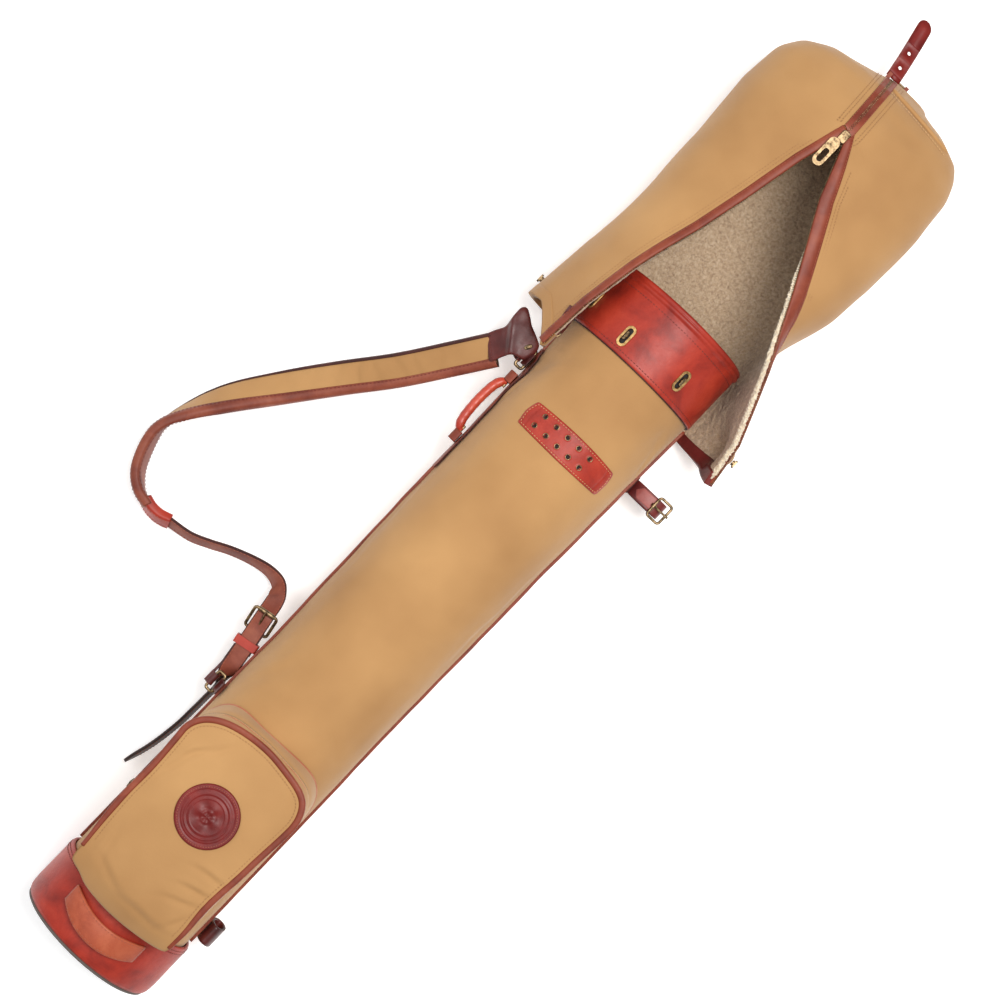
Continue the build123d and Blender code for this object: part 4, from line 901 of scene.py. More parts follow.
def medal(x, y, f, top):
    if not top:
        return (x, y, face_z(x, y, 0.3) - 1.2)
    r = f * 32.4
    a = math.atan2(y - 199, x - 1.7)
    h = 1.9 - 1.1 * max(0, (f - 0.95) / 0.05) ** 2
    for r0, am, w in ((26.6, -0.5, 0.8), (22.4, 0.55, 0.7), (20.4, -0.4, 0.5), (17.8, 0.5, 0.6)):
        h += am * math.exp(-((r - r0) / w) ** 2)
    if r < 16.6:
        petal = math.cos(4 * a) * math.sin(min(1.0, r / 16.6) * math.pi)
        h += 0.75 * petal + 0.35 * math.cos(r * 1.1) * math.exp(-((r - 5) / 4) ** 2)
    return (x, y, face_z(x, y, 0.3) + 0.4 + h)


fan("pocket_medal", oc, medal, 60, 2, PATCH, "bag", replaces=("pocket_patch",), edge_mat=EDGE)
q = np.array([medal(1.7 + 29.4 * math.cos(t), 199 + 29.4 * math.sin(t), 29.4 / 32.4, True) for t in np.linspace(0, 2 * math.pi, 160)])
stitches("pocket_medal_thread", [(q, np.tile([0, 0, 1.0], (len(q), 1)))], "bag", THREAD_RED, slot="leather_patch", pitch=2.6, length=1.8, r=0.33)

# ----------------------------------------------------------- carry handle
ys = np.linspace(595, 758, 60)
ph = np.linspace(-97.5, -80.5, 13)
P = np.array([[T(y, a, 1.5 + 0.8 * math.sin((a + 97.5) / 17 * math.pi)) for a in ph] for y in ys])
sheet("handle_seam_strip", P, 1.3, RUST, "bag", flip=False, replaces=("handle_strip",), edge_mat=EDGE)
ln = []
for a in (-83.0, -95.0):
    q = np.array([T(y, a, 2.35) for y in ys[1:-1]])
    ln.append((q, q - np.array([[0, y, ZC] for y in q[:, 1]])))
stitches("handle_strip_thread", ln, "bag", THREAD_RED, slot="leather_rust", pitch=3.8)
hp = catmull([(-83.8, 640.5, 76), (-88.0, 643, 76.3), (-91.5, 653, 76.5), (-93.0, 675, 77), (-91.8, 696, 76.5), (-88.0, 706.2, 76.2), (-83.8, 708.6, 76)], 90)
s = np.linspace(0, 1, 90)
rad = 5.0 - 2.0 * np.exp(-(s / 0.06) ** 2) - 2.0 * np.exp(-((1 - s) / 0.06) ** 2) + 0.12 * np.sin(s * 60)
pipe("handle_roll", hp, rad, [HANDLE], "handle", slot="leather_red", replaces=("handle_grip", "handle_tabs"))
W_, N_ = frame_along(hp, 0)
q = hp + np.array([0.55, 0, 0.83]) * (rad[:, None] + 0.05)
stitches("handle_thread", [(q[8:-8], np.tile([0.55, 0, 0.83], (74, 1)))], "handle", THREAD_RED, slot="leather_red", pitch=3.6, r=0.36)
for k, y0 in ((0, 627), (1, 709)):
    yy = np.linspace(y0, y0 + 12.6, 9)
    aa = np.linspace(-90, 90, 15)
    P = np.array([[(-80.6 - 7.8 * math.cos(math.radians(a)), y, 76 + 6.6 * math.sin(math.radians(a))) for a in aa] for y in yy])
    sheet("handle_anchor_%d" % k, P, 1.2, RUST, "bag", replaces=("handle_anchors",), edge_mat=EDGE)

# --------------------------------------------------------- shoulder strap
PAD = [(-117.0, 725.8, 57.4), (-142, 690, 44), (-176, 642, 30), (-213, 596, 22), (-249, 549, 17.5), (-283, 501, 17.5),
       (-304, 461, 18.5), (-314, 431, 19.5), (-312, 408, 19.8), (-301, 381, 18.2), (-286, 366, 15.8), (-268, 358.6, 13)]
PROLL = [4, 4, 5, 8, 18, 38, 66, 86, 94, 94, 88, 78]
pp = catmull([list(a) + [b] for a, b in zip(PAD, PROLL)], 260)
roll = pp[:, 3]
pp = pp[:, :3]
pp[:, 2] = np.maximum(pp[:, 2], 17.5 * np.sin(np.radians(roll)) + 4.5)
W_, N_ = frame_along(pp, roll)
k = 44
V = np.zeros((260, k, 3))
uvv = []
s = np.r_[0, np.cumsum(np.linalg.norm(np.diff(pp, axis=0), axis=1))]
for i in range(260):
    for j in range(k):
        a = 2 * math.pi * j / k
        cx, sy = math.cos(a), math.sin(a)
        w = 15.6 * (1 if cx > 0 else -1) * abs(cx) ** 0.55
        h = (5.6 if sy > 0 else 2.2) * (1 if sy > 0 else -1) * abs(sy) ** 0.62
        if sy > 0:
            crown = abs(sy) ** 0.5 * max(0.0, 1 - (abs(w) / 14.5) ** 4)
            wr = 0.0
            for wx, wa, ws in ((62, -1.0, 4), (84, -1.5, 5), (104, -1.1, 4), (128, -1.6, 5), (146, -1.9, 4.5), (170, -1.2, 5), (195, -1.0, 6), (222, -0.9, 6), (250, -0.8, 7)):
                wr += wa * math.exp(-((s[i] - wx - 5 * math.sin(w * 0.12 + wx)) / ws) ** 2)
            h += crown * (wr * 0.85 + 0.8 * noise.noise(Vector((s[i] * 0.06, w * 0.08, 2))))
        V[i, j] = pp[i] + W_[i] * w + N_[i] * (h + 0.6)
        uvv.append((s[i], w + 20))
F = grid_faces(260, k, 0, True)
nv = 260 * k
VV = np.concatenate([V.reshape(-1, 3), [pp[0], pp[-1]]])
for j in range(k):
    F.append((nv, (j + 1) % k, j))
    F.append((nv + 1, 259 * k + j, 259 * k + (j + 1) % k))
pad = make("strap_pad_canvas", VV, F, CANVAS, "shoulder_strap", ("strap_pad",), np.array(uvv + [(0, 0), (s[-1], 0)]))
# leather under the canvas, its inner edge bound up over the side
prof = [(18.6, -3.4), (19.0, -0.5), (18.8, 2.6), (17.2, 5.0), (13.6, 6.3), (9.6, 6.7), (9.4, 6.0), (14.6, 3.4), (16.0, 1.2), (15.6, -1.8),
        (-15.6, -1.8), (-16.6, 0.4), (-15.6, 2.6), (-13.4, 4.6), (-13.2, 5.6), (-15.8, 5.0), (-17.8, 1.4), (-18.2, -1.2), (-17.4, -3.4), (-8, -4.3), (8, -4.3)]
sweep("strap_leather_backing", pp, W_, N_, prof, [STRAP, EDGE], "shoulder_strap", slot="leather_rust", replaces=("strap_pad_backing",),
      fmat=[0, 0, 0, 0, 0, 0, 0, 0, 0, 0, 0, 1, 1, 1, 1, 1, 1, 1, 0, 0, 0])
ln = [(pp + W_ * 11.2 + N_ * 6.6, N_), (pp + W_ * 14.6 - N_ * 4.35, -N_), (pp - W_ * 14.6 - N_ * 4.35, -N_)]
stitches("strap_pad_thread", [(a[4:-4], b[4:-4]) for a, b in ln], "shoulder_strap", THREAD_DK, slot="leather_rust", pitch=4.2, r=0.34)

# sleeve where the pad narrows into the plain strap
sp = catmull([(-276, 361.5, 16.5), (-264, 357.8, 14.6), (-252, 357.6, 13.2), (-240, 361, 12.2)], 30)
W_, N_ = frame_along(sp, np.linspace(74, 60, 30))
sc = np.stack([np.linspace(1.0, 0.8, 30), np.linspace(1.0, 0.85, 30)], 1)
sweep("strap_sleeve_leather", sp, W_, N_, round_prof(27, 11.5, 3.5, 5), [RED], "shoulder_strap", slot="leather_red", replaces=("strap_sleeve",), scale=sc)
ln = [(sp[2:-2] + W_[2:-2] * (o * sc[2:-2, :1]) + N_[2:-2] * (5.8 * sc[2:-2, 1:]), N_[2:-2]) for o in (-9.5, 9.5)]
stitches("strap_sleeve_thread", ln, "shoulder_strap", THREAD_RED, slot="leather_red", pitch=3.4, r=0.34)

U_ = np.array([-0.17, 0.985, 0]) / math.hypot(0.17, 0.985)
B0_ = np.array([-94.5, 346.0, 61.5])
RA, RB = B0_ + 22 * U_ + [0, 0, 4.5], B0_ - 30 * U_ + [0, 0, 4.5]
NAR = [(-250, 358.6, 12.8), (-242.2, 360.2, 12.2), (-215, 364.4, 10.5), (-194, 373, 10.5), (-172.6, 383.5, 11.5), (-149, 392.0, 13.5),
       (-130, 396, 18), (-114, 394.5, 27), (-105, 387, 40), (-101, 379.5, 54), tuple(RA), tuple((RA * 2 + RB) / 3), tuple((RA + RB * 2) / 3), tuple(RB),
       (-87.0, 301, 64), (-84.2, 284, 52.5), (-84.5, 262, 38), (-85.5, 238, 24), (-87, 213, 14.5), (-92, 180, 11.5), (-101, 147, 11.5)]
NR = [58, 58, 60, 62, 62, 58, 50, 34, 14, 2, 0, 0, 0, 0, -5, -75, -80, -80, -80, -80, -80]
q4 = catmull([list(a) + [b] for a, b in zip(NAR, NR)], 420)
W_, N_ = frame_along(q4[:, :3], q4[:, 3])
qq = q4[:, :3]
ss = np.r_[0, np.cumsum(np.linalg.norm(np.diff(qq, axis=0), axis=1))]
tip = np.clip((ss[-1] - ss) / 14.0, 0.02, 1) ** 0.55
sweep("strap_long_leather", qq, W_, N_, round_prof(19.4, 3.1, 1.0, 3), [STRAP, EDGE], "shoulder_strap", slot="leather_rust", replaces=("strap_leather",),
      scale=np.stack([tip, np.ones(420)], 1), fmat=[1, 1, 0, 1, 1, 1, 1, 1, 0, 1, 1, 1])
o_ = bpy.data.objects["strap_long_leather"]
o_.data.materials.append(TAILM)
for f_ in o_.data.polygons:
    if f_.center.y < 0.292:
        f_.material_index = 2
ln = []
m_ = slice(8, 408)
for o in (-7.8, 7.8):
    ln.append((qq[m_] + W_[m_] * o + N_[m_] * 1.6, N_[m_]))
    ln.append((qq[m_] + W_[m_] * o - N_[m_] * 1.6, -N_[m_]))
stitches("strap_long_thread", ln, "shoulder_strap", THREAD_RED, slot="leather_rust", pitch=4.0, r=0.32)

# dark end tab: a folded leather saddle between the pad's end and the ring
TABO = np.array([(-112.0, 712.5), (-124.0, 722.0), (-133.5, 729.5), (-131.5, 737.5), (-127.5, 744.5), (-125.0, 750.0), (-126.2, 762.0), (-126.0, 774.0), (-121.0, 777.5), (-112.0, 772.5), (-106.0, 768.0),
                 (-98.0, 764.5), (-90.5, 761.0), (-85.5, 757.5), (-83.6, 750.0), (-84.8, 742.0), (-87.5, 736.5), (-94.0, 734.8), (-100.5, 732.0), (-106.0, 724.0)])
TABO = catmull(TABO, 120, True)


def tab_fn(x, y, f, top):
    # fold line from the crotch to the far corner; the wing falls away to the pad, the band stands up
    d = (x + 112.5) * -0.80 + (y - 741.0) * -0.60
    wing = 1 / (1 + math.exp(-(d - 2.0) / 2.6))
    zb = 81.0 - 2.6 * max(0, (x + 98) / 10) ** 1.5 - 0.004 * (y - 748) ** 2
    zw = 67.0 + (x + 117) * 0.50 + (y - 727) * 0.20
    z = zb * (1 - wing) + min(zw, zb + 2) * wing
    z += 1.3 * math.exp(-((d + 1.5) / 2.2) ** 2) - 1.2 * math.exp(-((d - 2.5) / 1.8) ** 2)
    z += 0.8 * noise.noise(Vector((x * 0.09, y * 0.09, 2.0)))
    z -= 1.0 * max(0.0, (f - 0.9) / 0.1) ** 2
    if top:
        return (x, y, z)
    return (x, y, z - 2.6 - 9.5 * wing * min(1, max(0, (1.0 - f) / 0.25) * 0.2 + 0.8))


tab_ob = fan("strap_tab_saddle", TABO, tab_fn, 26, 3, DARK, "shoulder_strap", replaces=("strap_end_tab",), edge_mat=EDGE)
rv = np.array(tab_fn(-93.0, 749.5, 0.4, True))
ol = np.array([(4.6 * abs(math.cos(t)) ** 0.8 * (1 if math.cos(t) > 0 else -1), 2.4 * math.sin(t)) for t in np.linspace(0, 2 * math.pi, 25)[:-1]])
fan("strap_tab_stud", ol, lambda u, v, f, top: (rv[0] + 0.45 * u - 0.89 * v, rv[1] + 0.89 * u + 0.45 * v, rv[2] + (1.3 - 0.9 * f * f - (0.7 if abs(v) < 0.6 and abs(u) < 3 else 0) if top else -1.0) - 0.24 * (0.45 * u - 0.89 * v) * 0.5),
    10, 2, BRASS, "bag", replaces=("strap_tab_rivet",))
# the band's tail rolls down round the ring's wire
tb = catmull([(-93.5, 739.5, 74.5), (-90.6, 739.5, 72.0), (-91.8, 739.5, 69.4), (-94.8, 739.6, 69.2), (-97.2, 740.2, 71.5), (-98.5, 741, 74.0)], 30)
tt = tangents(tb)
tW = np.tile([0, -1.0, 0], (30, 1))
tW -= tt * np.sum(tW * tt, 1, keepdims=True)
tW /= np.linalg.norm(tW, axis=1, keepdims=True)
sweep("strap_tab_roll", tb, tW, np.cross(tt, tW), round_prof(15, 2.0, 0.9, 4), [DARK], "bag", slot="leather_dark")
ln = []
cc = TABO.mean(0)
q2 = cc + (TABO - cc) * 0.88
q = np.array([np.array(tab_fn(a, b, 0.85, True)) + [0, 0, 0.1] for a, b in np.concatenate([q2, q2[:1]])])
ln.append((q, np.tile([0, 0, 1.0], (len(q), 1))))
tab_th = stitches("strap_tab_thread", ln, "shoulder_strap", THREAD_DK, slot="leather_dark", pitch=3.6, r=0.32)
for o_ in (tab_ob, tab_th):
    o_.parent = None
    del o_["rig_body"]
    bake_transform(o_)

# buckle chape seen round the pivot bar, and the ring's leather
for nm, yc, r0 in (("upper", 740.0, 1.7), ("lower", 282.0, 1.6)):
    yy = np.linspace(yc - 7.4, yc + 7.4, 9)
    zs = [52, 58, 64, 68.0, 70.5, 72, 73.5, 76, 80, 86, 92]
    base = 81.2 if yc > 500 else 78.0
    xs_ = []
    for z in zs:
        b = -math.sqrt(max((base + 0.9) ** 2 - (z - ZC) ** 2, 1))
        xs_.append(b - 1.0 - 4.4 * math.exp(-((z - 72) / 4.2) ** 2))
    if yc < 500:
        zs, xs_ = zs[3:], xs_[3:]
    P = np.array([[(x, y, z) for x, z in zip(xs_, zs)] for y in yy])
    sheet("strap_anchor_" + nm, P, 1.0, DARK, "bag", replaces=("strap_chapes",), edge_mat=EDGE)
# --------------------------------------------------------- umbrella holder
yy = np.linspace(713.2, 730.8, 13)
cx_, cz_ = 102.5, 50.0
lp = []
for t in np.linspace(0, 2 * math.pi, 73)[:-1]:
    c1, s1 = math.cos(t), math.sin(t)
    e1, e2 = (0.72, 0.8) if c1 > 0 else (1.0, 1.0)
    lp.append((cx_ + 18.6 * (1 if c1 > 0 else -1) * abs(c1) ** e1, cz_ + 8.3 * (1 if s1 > 0 else -1) * abs(s1) ** e2))
P = np.array([[(a, y, b) for a, b in lp] for y in yy])
sheet("umbrella_band", P, 2.4, MAROON, "umbrella_loop", wrap=True, flip=True, replaces=("umbrella_strap",), edge_mat=EDGE)
ln = []
for y in (715.4, 728.6):
    q = np.array([(a, y, b) for a, b in lp if a < 118 and b > cz_])
    q = q[np.argsort(q[:, 0])]
    ln.append((q + [0, 0, 0.1], np.tile([0, 0, 1.0], (len(q), 1))))
stitches("umbrella_thread", ln, "umbrella_loop", THREAD_RED, slot="leather_red", pitch=3.4, r=0.32)
ut = catmull([(88, 722, 58.0), (94, 722, 59.6), (101, 722.3, 60.6), (108, 722.6, 60.6), (112.5, 722.8, 59.9)], 40)
W_, N_ = frame_along(ut, 0)
N_[N_[:, 2] < 0] *= -1
u0 = np.linspace(0, 1, 40)
sweep("umbrella_tail", ut, W_, N_, round_prof(13.5, 1.8, 0.8, 4), [PINK], "umbrella_loop", slot="leather_red", scale=np.stack([np.clip(u0 / 0.22, 0.05, 1) ** 0.8, np.ones(40)], 1))
P = np.array([[(math.sqrt(max(80.6 ** 2 - (z - ZC) ** 2, 1)) * 1.0 + 0.2, y, z) for z in np.linspace(27, 75, 15)] for y in np.linspace(711.5, 732.5, 9)])
sheet("umbrella_root", P, 1.4, DARK, "bag", flip=True, replaces=("umbrella_anchor",), edge_mat=EDGE)
lp = []
for t in np.linspace(0, 2 * math.pi, 61)[:-1]:
    lp.append((87.2 + 6.2 * math.cos(t), 62 + 15.0 * math.sin(t)))
P = np.array([[(a, y, b) for a, b in lp] for y in np.linspace(80.5, 103.5, 9)])
sheet("umbrella_low_loop", P, 2.4, DARK, "bag", wrap=True, flip=True, replaces=("umbrella_lower_loop",), edge_mat=EDGE)

# ------------------------------------------------------------------- hood
HR = np.array([(770, -131, 143, 0, 134), (792, -131, 141, 0, 139), (840, -126, 125, 0, 147), (900, -120, 105, 0, 151), (960, -118.5, 111, 0, 152), (1030, -121, 117, 0, 152.5),
               (1100, -127, 118, 0, 150), (1148, -122, 113.5, 0, 140), (1168, -110, 106, 2, 131), (1180, -90, 98, 6, 121), (1194, -42, 72, 17, 98), (1203, -22, 40, 34, 80)], float)


def hrow(y):
    return [float(np.interp(y, HR[:, 0], HR[:, i])) for i in range(1, 5)]


for _ in range(1):
    yy = np.linspace(760, 1203, 444)
    S = np.stack([np.interp(yy, HR[:, 0], HR[:, i]) for i in range(1, 5)], 1)
    ker = np.hanning(25)
    ker /= ker.sum()
    Sp = np.pad(S, ((12, 12), (0, 0)), mode="edge")
    Sm = np.stack([np.convolve(Sp[:, i], ker, "valid") for i in range(4)], 1)
    wv = np.clip((1180 - yy) / 30, 0, 1)[:, None]
    SS = Sm * wv + S * (1 - wv)


def hsec(y):
    return [float(np.interp(y, yy, SS[:, i])) for i in range(4)]


LE = np.array([(762, -86.0, 122), (801, -83.5, 139), (833, -80.0, 149), (880, -69.5, 154), (947, -50, 154), (1005, -36.5, 153.5), (1064, -24.6, 153), (1118, -10, 151.5)], float)
RE = np.array([(762, 144, 80), (773, 142.5, 85), (831, 129.9, 112), (896, 98.3, 135), (969, 60.8, 147), (1050, 17, 151), (1085, 3.8, 152), (1118, -9.4, 151.5)], float)
N_EXP = 2.5
HC = 260


def hood_curve(y, m=HC, off=0.0):
    """Open cross-section at y, from the left zip edge round the back to the right one."""
    xl, xr, zb, zt = hsec(y)
    xc, zc, hw, hh = (xl + xr) / 2, (zb + zt) / 2, (xr - xl) / 2, (zt - zb) / 2
    if y < 1118:
        el = [float(np.interp(y, LE[:, 0], LE[:, i])) for i in (1, 2)]
        er = [float(np.interp(y, RE[:, 0], RE[:, i])) for i in (1, 2)]
    else:
        sx = -9.7 - 3.6 * (y - 1118) / 85
        u = max(-1, min(1, (sx - xc) / hw))
        sz = zc + hh * (1 - abs(u) ** N_EXP) ** (1 / N_EXP)
        bl = max(0.0, 1 - (y - 1118) / 45.0)
        bl = bl * bl * (3 - 2 * bl)
        sz = 151.5 * bl + sz * (1 - bl)
        el = er = [sx, sz]
    def ang(x):
        u = max(-0.995, min(0.995, (x - xc) / hw))
        return math.acos((1 if u > 0 else -1) * abs(u) ** (N_EXP / 2))
    a0, a1 = ang(el[0]), 2 * math.pi + ang(er[0])
    if y >= 1118:
        a0, a1 = ang(el[0]), 2 * math.pi + ang(el[0])
    a = np.linspace(a0, a1, 1200)
    c, s = np.cos(a), np.sin(a)
    x = xc + hw * np.sign(c) * np.abs(c) ** (2 / N_EXP)
    z = zc + hh * np.sign(s) * np.abs(s) ** (2 / N_EXP)
    wr = min(1.0, max(0.0, (985 - y) / 110.0))
    wr = wr * wr * (3 - 2 * wr)
    if wr > 0:
        xlow = float(np.interp(y, [770, 831, 900, 985], [84, 86, 88, 100]))
        zz = np.clip((z - 3) / max(er[1] - 3, 1), 0, 1.3)
        sl = xlow + (er[0] - xlow) * zz ** 0.85
        k = 7.0
        sm = -k * np.logaddexp(-x / k, -sl / k)
        right = x > xc + 20
        x = np.where(right, x * (1 - wr) + sm * wr, x)
    # even spacing along the section
    d = np.r_[0, np.cumsum(np.hypot(np.diff(x), np.diff(z)))]
    t = np.linspace(0, d[-1], m)
    x, z = np.interp(t, d, x), np.interp(t, d, z)
    f = np.linspace(0, 1, m)
    wl, wrr = np.clip(1 - f / 0.16, 0, 1) ** 2, np.clip(1 - (1 - f) / 0.20, 0, 1) ** 2
    x = x + (el[0] - x[0]) * wl + (er[0] - x[-1]) * wrr
    z = z + (el[1] - z[0]) * wl + (er[1] - z[-1]) * wrr
    return x, z, f


def hood_grid(rows, m=HC, hem=True, soft=1.0):
    P = np.zeros((len(rows), m, 3))
    for i, y in enumerate(rows):
        x, z, f = hood_curve(min(y, 1203.0), m)
        yy_ = np.full(m, float(y))
        if hem:
            drop = 16.0 * np.clip(1 - (1 - f) / 0.24, 0, 1) ** 1.2 + 34.0 * np.clip(1 - f / 0.085, 0, 1) ** 1.3
            yy_ = yy_ - drop * max(0.0, 1 - (y - 792) / 120.0) ** 1.6 if y < 912 else yy_
        P[i, :, 0], P[i, :, 1], P[i, :, 2] = x, yy_, z
    if soft:
        N = normals(P)
        c = P.mean((0, 1))
        if np.mean(np.sum(N * (P - c), 2)) < 0:
            N = -N
        for i in range(len(rows)):
            for j in range(m):
                x, y, z = P[i, j]
                low = min(1.0, max(0.0, z / 60.0))
                edge = min(1.0, min(j, m - 1 - j) / 14.0) if y < 1112 else 1.0
                d = 2.6 * noise.noise(Vector((x * 0.012, y * 0.009, z * 0.012 + 4))) + 0.9 * noise.noise(Vector((x * 0.035, y * 0.022, z * 0.035)))
                d -= 1.8 * math.exp(-((y - 838 + 0.25 * (x + 100)) / 9.0) ** 2) * (1 if x < -70 else 0) * math.exp(-((x + 104) / 16) ** 2)
                d -= 1.4 * math.exp(-((y - 868 + 0.5 * (x + 100)) / 10.0) ** 2) * math.exp(-((x + 108) / 14) ** 2)
                P[i, j] += N[i, j] * (min(d, 1.0) * low * edge * soft)
    # the flap's lower side stands out to the turn stud that is fixed through it
    g = np.exp(-((P[..., 1] - 810) / 24.0) ** 2) * np.exp(-((P[..., 2] - 60) / 24.0) ** 2) * (P[..., 0] > 40)
    P[..., 0] += g * np.maximum(138.7 - P[..., 0], 0)
    P[:, :, 2] = np.maximum(P[:, :, 2], 0.25)
    return P, None


rows = np.r_[np.linspace(792, 1178, 130), np.linspace(1180.5, 1203, 14)]
PH_, _ = hood_grid(rows)
cap = [PH_]
c_ = PH_[-1].mean(0)
for y, s_ in ((1204.6, 0.86), (1205.8, 0.62), (1206.4, 0.34), (1206.6, 0.04)):
    r_ = c_ + (PH_[-1] - c_) * s_
    r_[:, 1] = y
    cap.append(r_[None])
PHC = np.concatenate(cap)
NH = normals(PHC)
flipH = bool(np.mean(np.sum(NH * (PHC - PHC.mean((0, 1))), 2)) < 0)
sheet("hood_canvas", PHC, 2.0, CANVAS, "hood", flip=flipH, replaces=("hood_shell",), inner_mat=CANVAS_IN)
sg = -1.0 if flipH else 1.0
# fleece: rows of curls as real relief
nf, mf = ((230, 420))
rows_f = np.r_[np.linspace(794, 1178, nf - 20), np.linspace(1180, 1199, 20)]
PF, _ = hood_grid(rows_f, mf, soft=0.0)
NF = normals(PF) * sg
mid_ = 2.2 + 0 * PF[..., 0]
d = np.zeros(PF.shape[:2])
for i in range(PF.shape[0]):
    for j in range(PF.shape[1]):
        x, y, z = PF[i, j]
        d[i, j] = 1.5 * noise.noise(Vector((x * 0.16, y * 0.16, z * 0.16))) + 0.9 * noise.noise(Vector((x * 0.38, y * 0.38, z * 0.38 + 9)))
base = PF - NF * 3.4
face = PF - NF * (6.2 + d * 0.9)[..., None]
face[..., 2] = np.maximum(face[..., 2], 3.4)
base[..., 2] = np.maximum(base[..., 2], 1.4)
n_, m_2 = PF.shape[:2]
V = np.concatenate([base.reshape(-1, 3), face.reshape(-1, 3)])
F = grid_faces(n_, m_2, 0, False, flipH) + grid_faces(n_, m_2, n_ * m_2, False, not flipH)
o = n_ * m_2
rim = [j for j in range(m_2)] + [i * m_2 + m_2 - 1 for i in range(1, n_)] + [(n_ - 1) * m_2 + j for j in range(m_2 - 2, -1, -1)] + [i * m_2 for i in range(n_ - 2, 0, -1)]
for a, b in zip(rim, rim[1:] + rim[:1]):
    q = (b, a, a + o, b + o)
    F.append(q[::-1] if flipH else q)
make("hood_fleece", V, F, FLEECE, "hood", ("hood_lining",))

# zip edges: folded leather bands with a row of teeth, and closed zip above the slider
def edge_rows(side, y0, y1, k):
    ys_ = np.linspace(y0, y1, k)
    G, _ = hood_grid(ys_, HC)
    G = G if side == "L" else G[:, ::-1]
    e = G[:, 0]
    inn = G[:, 6] - G[:, 0]
    inn /= np.linalg.norm(inn, axis=1, keepdims=True)
    t = tangents(e)
    inn = inn - t * np.sum(inn * t, 1, keepdims=True)
    inn /= np.linalg.norm(inn, axis=1, keepdims=True)
    nn = np.cross(t, inn)
    c = np.array([-5.0, 0, 70])
    for i in range(k):
        if np.dot(nn[i], (e[i] - np.array([-5.0, e[i][1], 70]))) < 0:
            nn[i] *= -1
    return e, inn, nn, t


for side in ("L", "R"):
    e, inn, nn, t = edge_rows(side, 793, 1117, 200)
    nm = "left" if side == "L" else "right"
    w = 14.0 if side == "R" else 8.0
    prof = [(w, 0.2), (w - 0.4, 1.0), (w / 2, 1.25), (0.6, 1.1), (-0.8, 0.3), (-1.1, -1.2), (-0.6, -3.0), (1.2, -3.7), (w - 1, -3.4), (w - 0.6, -2.6), (1.6, -2.4), (1.2, -0.2)]
    sc_ = np.ones((len(e), 2))
    sc_[:, 0] = 1 - 0.5 * np.clip((e[:, 1] - 1040) / 77.0, 0, 1) ** 1.5 if side == "R" else 1.0
    sweep("hood_zip_band_" + nm, e, inn, nn, prof, [RUST], "hood", slot="leather_rust", replaces=("hood_zip_tape",) if side == "L" else (), scale=sc_)
    V, F = stitch_mesh([(e - inn * 1.5 - nn * 1.0, inn * 0 + nn)], pitch=2.3, length=1.2, r=1.15)
    make("hood_zip_teeth_" + nm, V, F, BRASS, "hood", ("hood_zip_teeth",) if side == "L" else ())
    ln = [(e[3:] + inn[3:] * (w - 1.8) * sc_[3:, :1] + nn[3:] * 1.12, nn[3:])]
    stitches("hood_zip_thread_" + nm, ln, "hood", THREAD_RED, slot="leather_rust", pitch=3.2, length=2.2, r=0.3)
    ln = [(e[3:-20] + inn[3:-20] * (w + 3.2) + nn[3:-20] * 0.15, nn[3:-20]), (e[3:-28] + inn[3:-28] * (w + 6.4) + nn[3:-28] * 0.1, nn[3:-28])]
    stitches("hood_edge_thread_" + nm, ln, "hood", THREAD_CV, slot="canvas", pitch=3.2, length=2.2, r=0.28)
    if side == "R":
        m0 = e[:, 1] < 1030
        ce, ci, cn, ct = e[m0] + inn[m0] * 1.6 - nn[m0] * 4.6, inn[m0], nn[m0], t[m0]
        s_ = np.r_[0, np.cumsum(np.linalg.norm(np.diff(ce, axis=0), axis=1))]
        K = 620
        x_ = np.linspace(0, s_[-1], K)
        rs = lambda A: np.stack([np.interp(x_, s_, A[:, q]) for q in range(3)], 1)
        ce, ci, cn = rs(ce), rs(ci), rs(cn)
        kk = 22
        V = np.zeros((K, kk, 3))
        taper = np.clip(np.minimum(x_ / 12, (s_[-1] - x_) / 60), 0.15, 1)
        for i in range(K):
            for j in range(kk):
                a = 2 * math.pi * j / kk
                q = 1 + 0.42 * noise.noise(Vector((x_[i] * 0.55, math.cos(a) * 1.7, math.sin(a) * 1.7))) + 0.30 * noise.noise(Vector((x_[i] * 1.5, math.cos(a) * 3, math.sin(a) * 3 + 5)))
                V[i, j] = ce[i] + (ci[i] * (math.cos(a) * 4.6) + cn[i] * (math.sin(a) * 2.6)) * q * taper[i]
        F = grid_faces(K, kk, 0, True)
        VV = np.concatenate([V.reshape(-1, 3), [ce[0], ce[-1]]])
        for j in range(kk):
            F.append((K * kk, (j + 1) % kk, j))
            F.append((K * kk + 1, (K - 1) * kk + j, (K - 1) * kk + (j + 1) % kk))
        make("hood_fleece_edge", VV, F, CREAM, "hood")
# hem binding
hm = np.linspace(790.5, 802.5, 7)
PB, _ = hood_grid(hm, 200)
NB = normals(PB) * sg
PB2 = PB + NB * 0.9
PB2[..., 2] = np.maximum(PB2[..., 2], 0.1)
TH = np.where(PB2[..., 2] < 10, 7.2, 8.8)
sheet("hood_hem", PB2[:, 58:], TH[:, 58:], MAROON, "hood", flip=flipH, replaces=("hood_hem_trim",))
sheet("hood_hem_turned", (PB2 - NB * 0.5)[:, :59], TH[:, :59] - 0.8, CANVAS, "hood", flip=flipH)
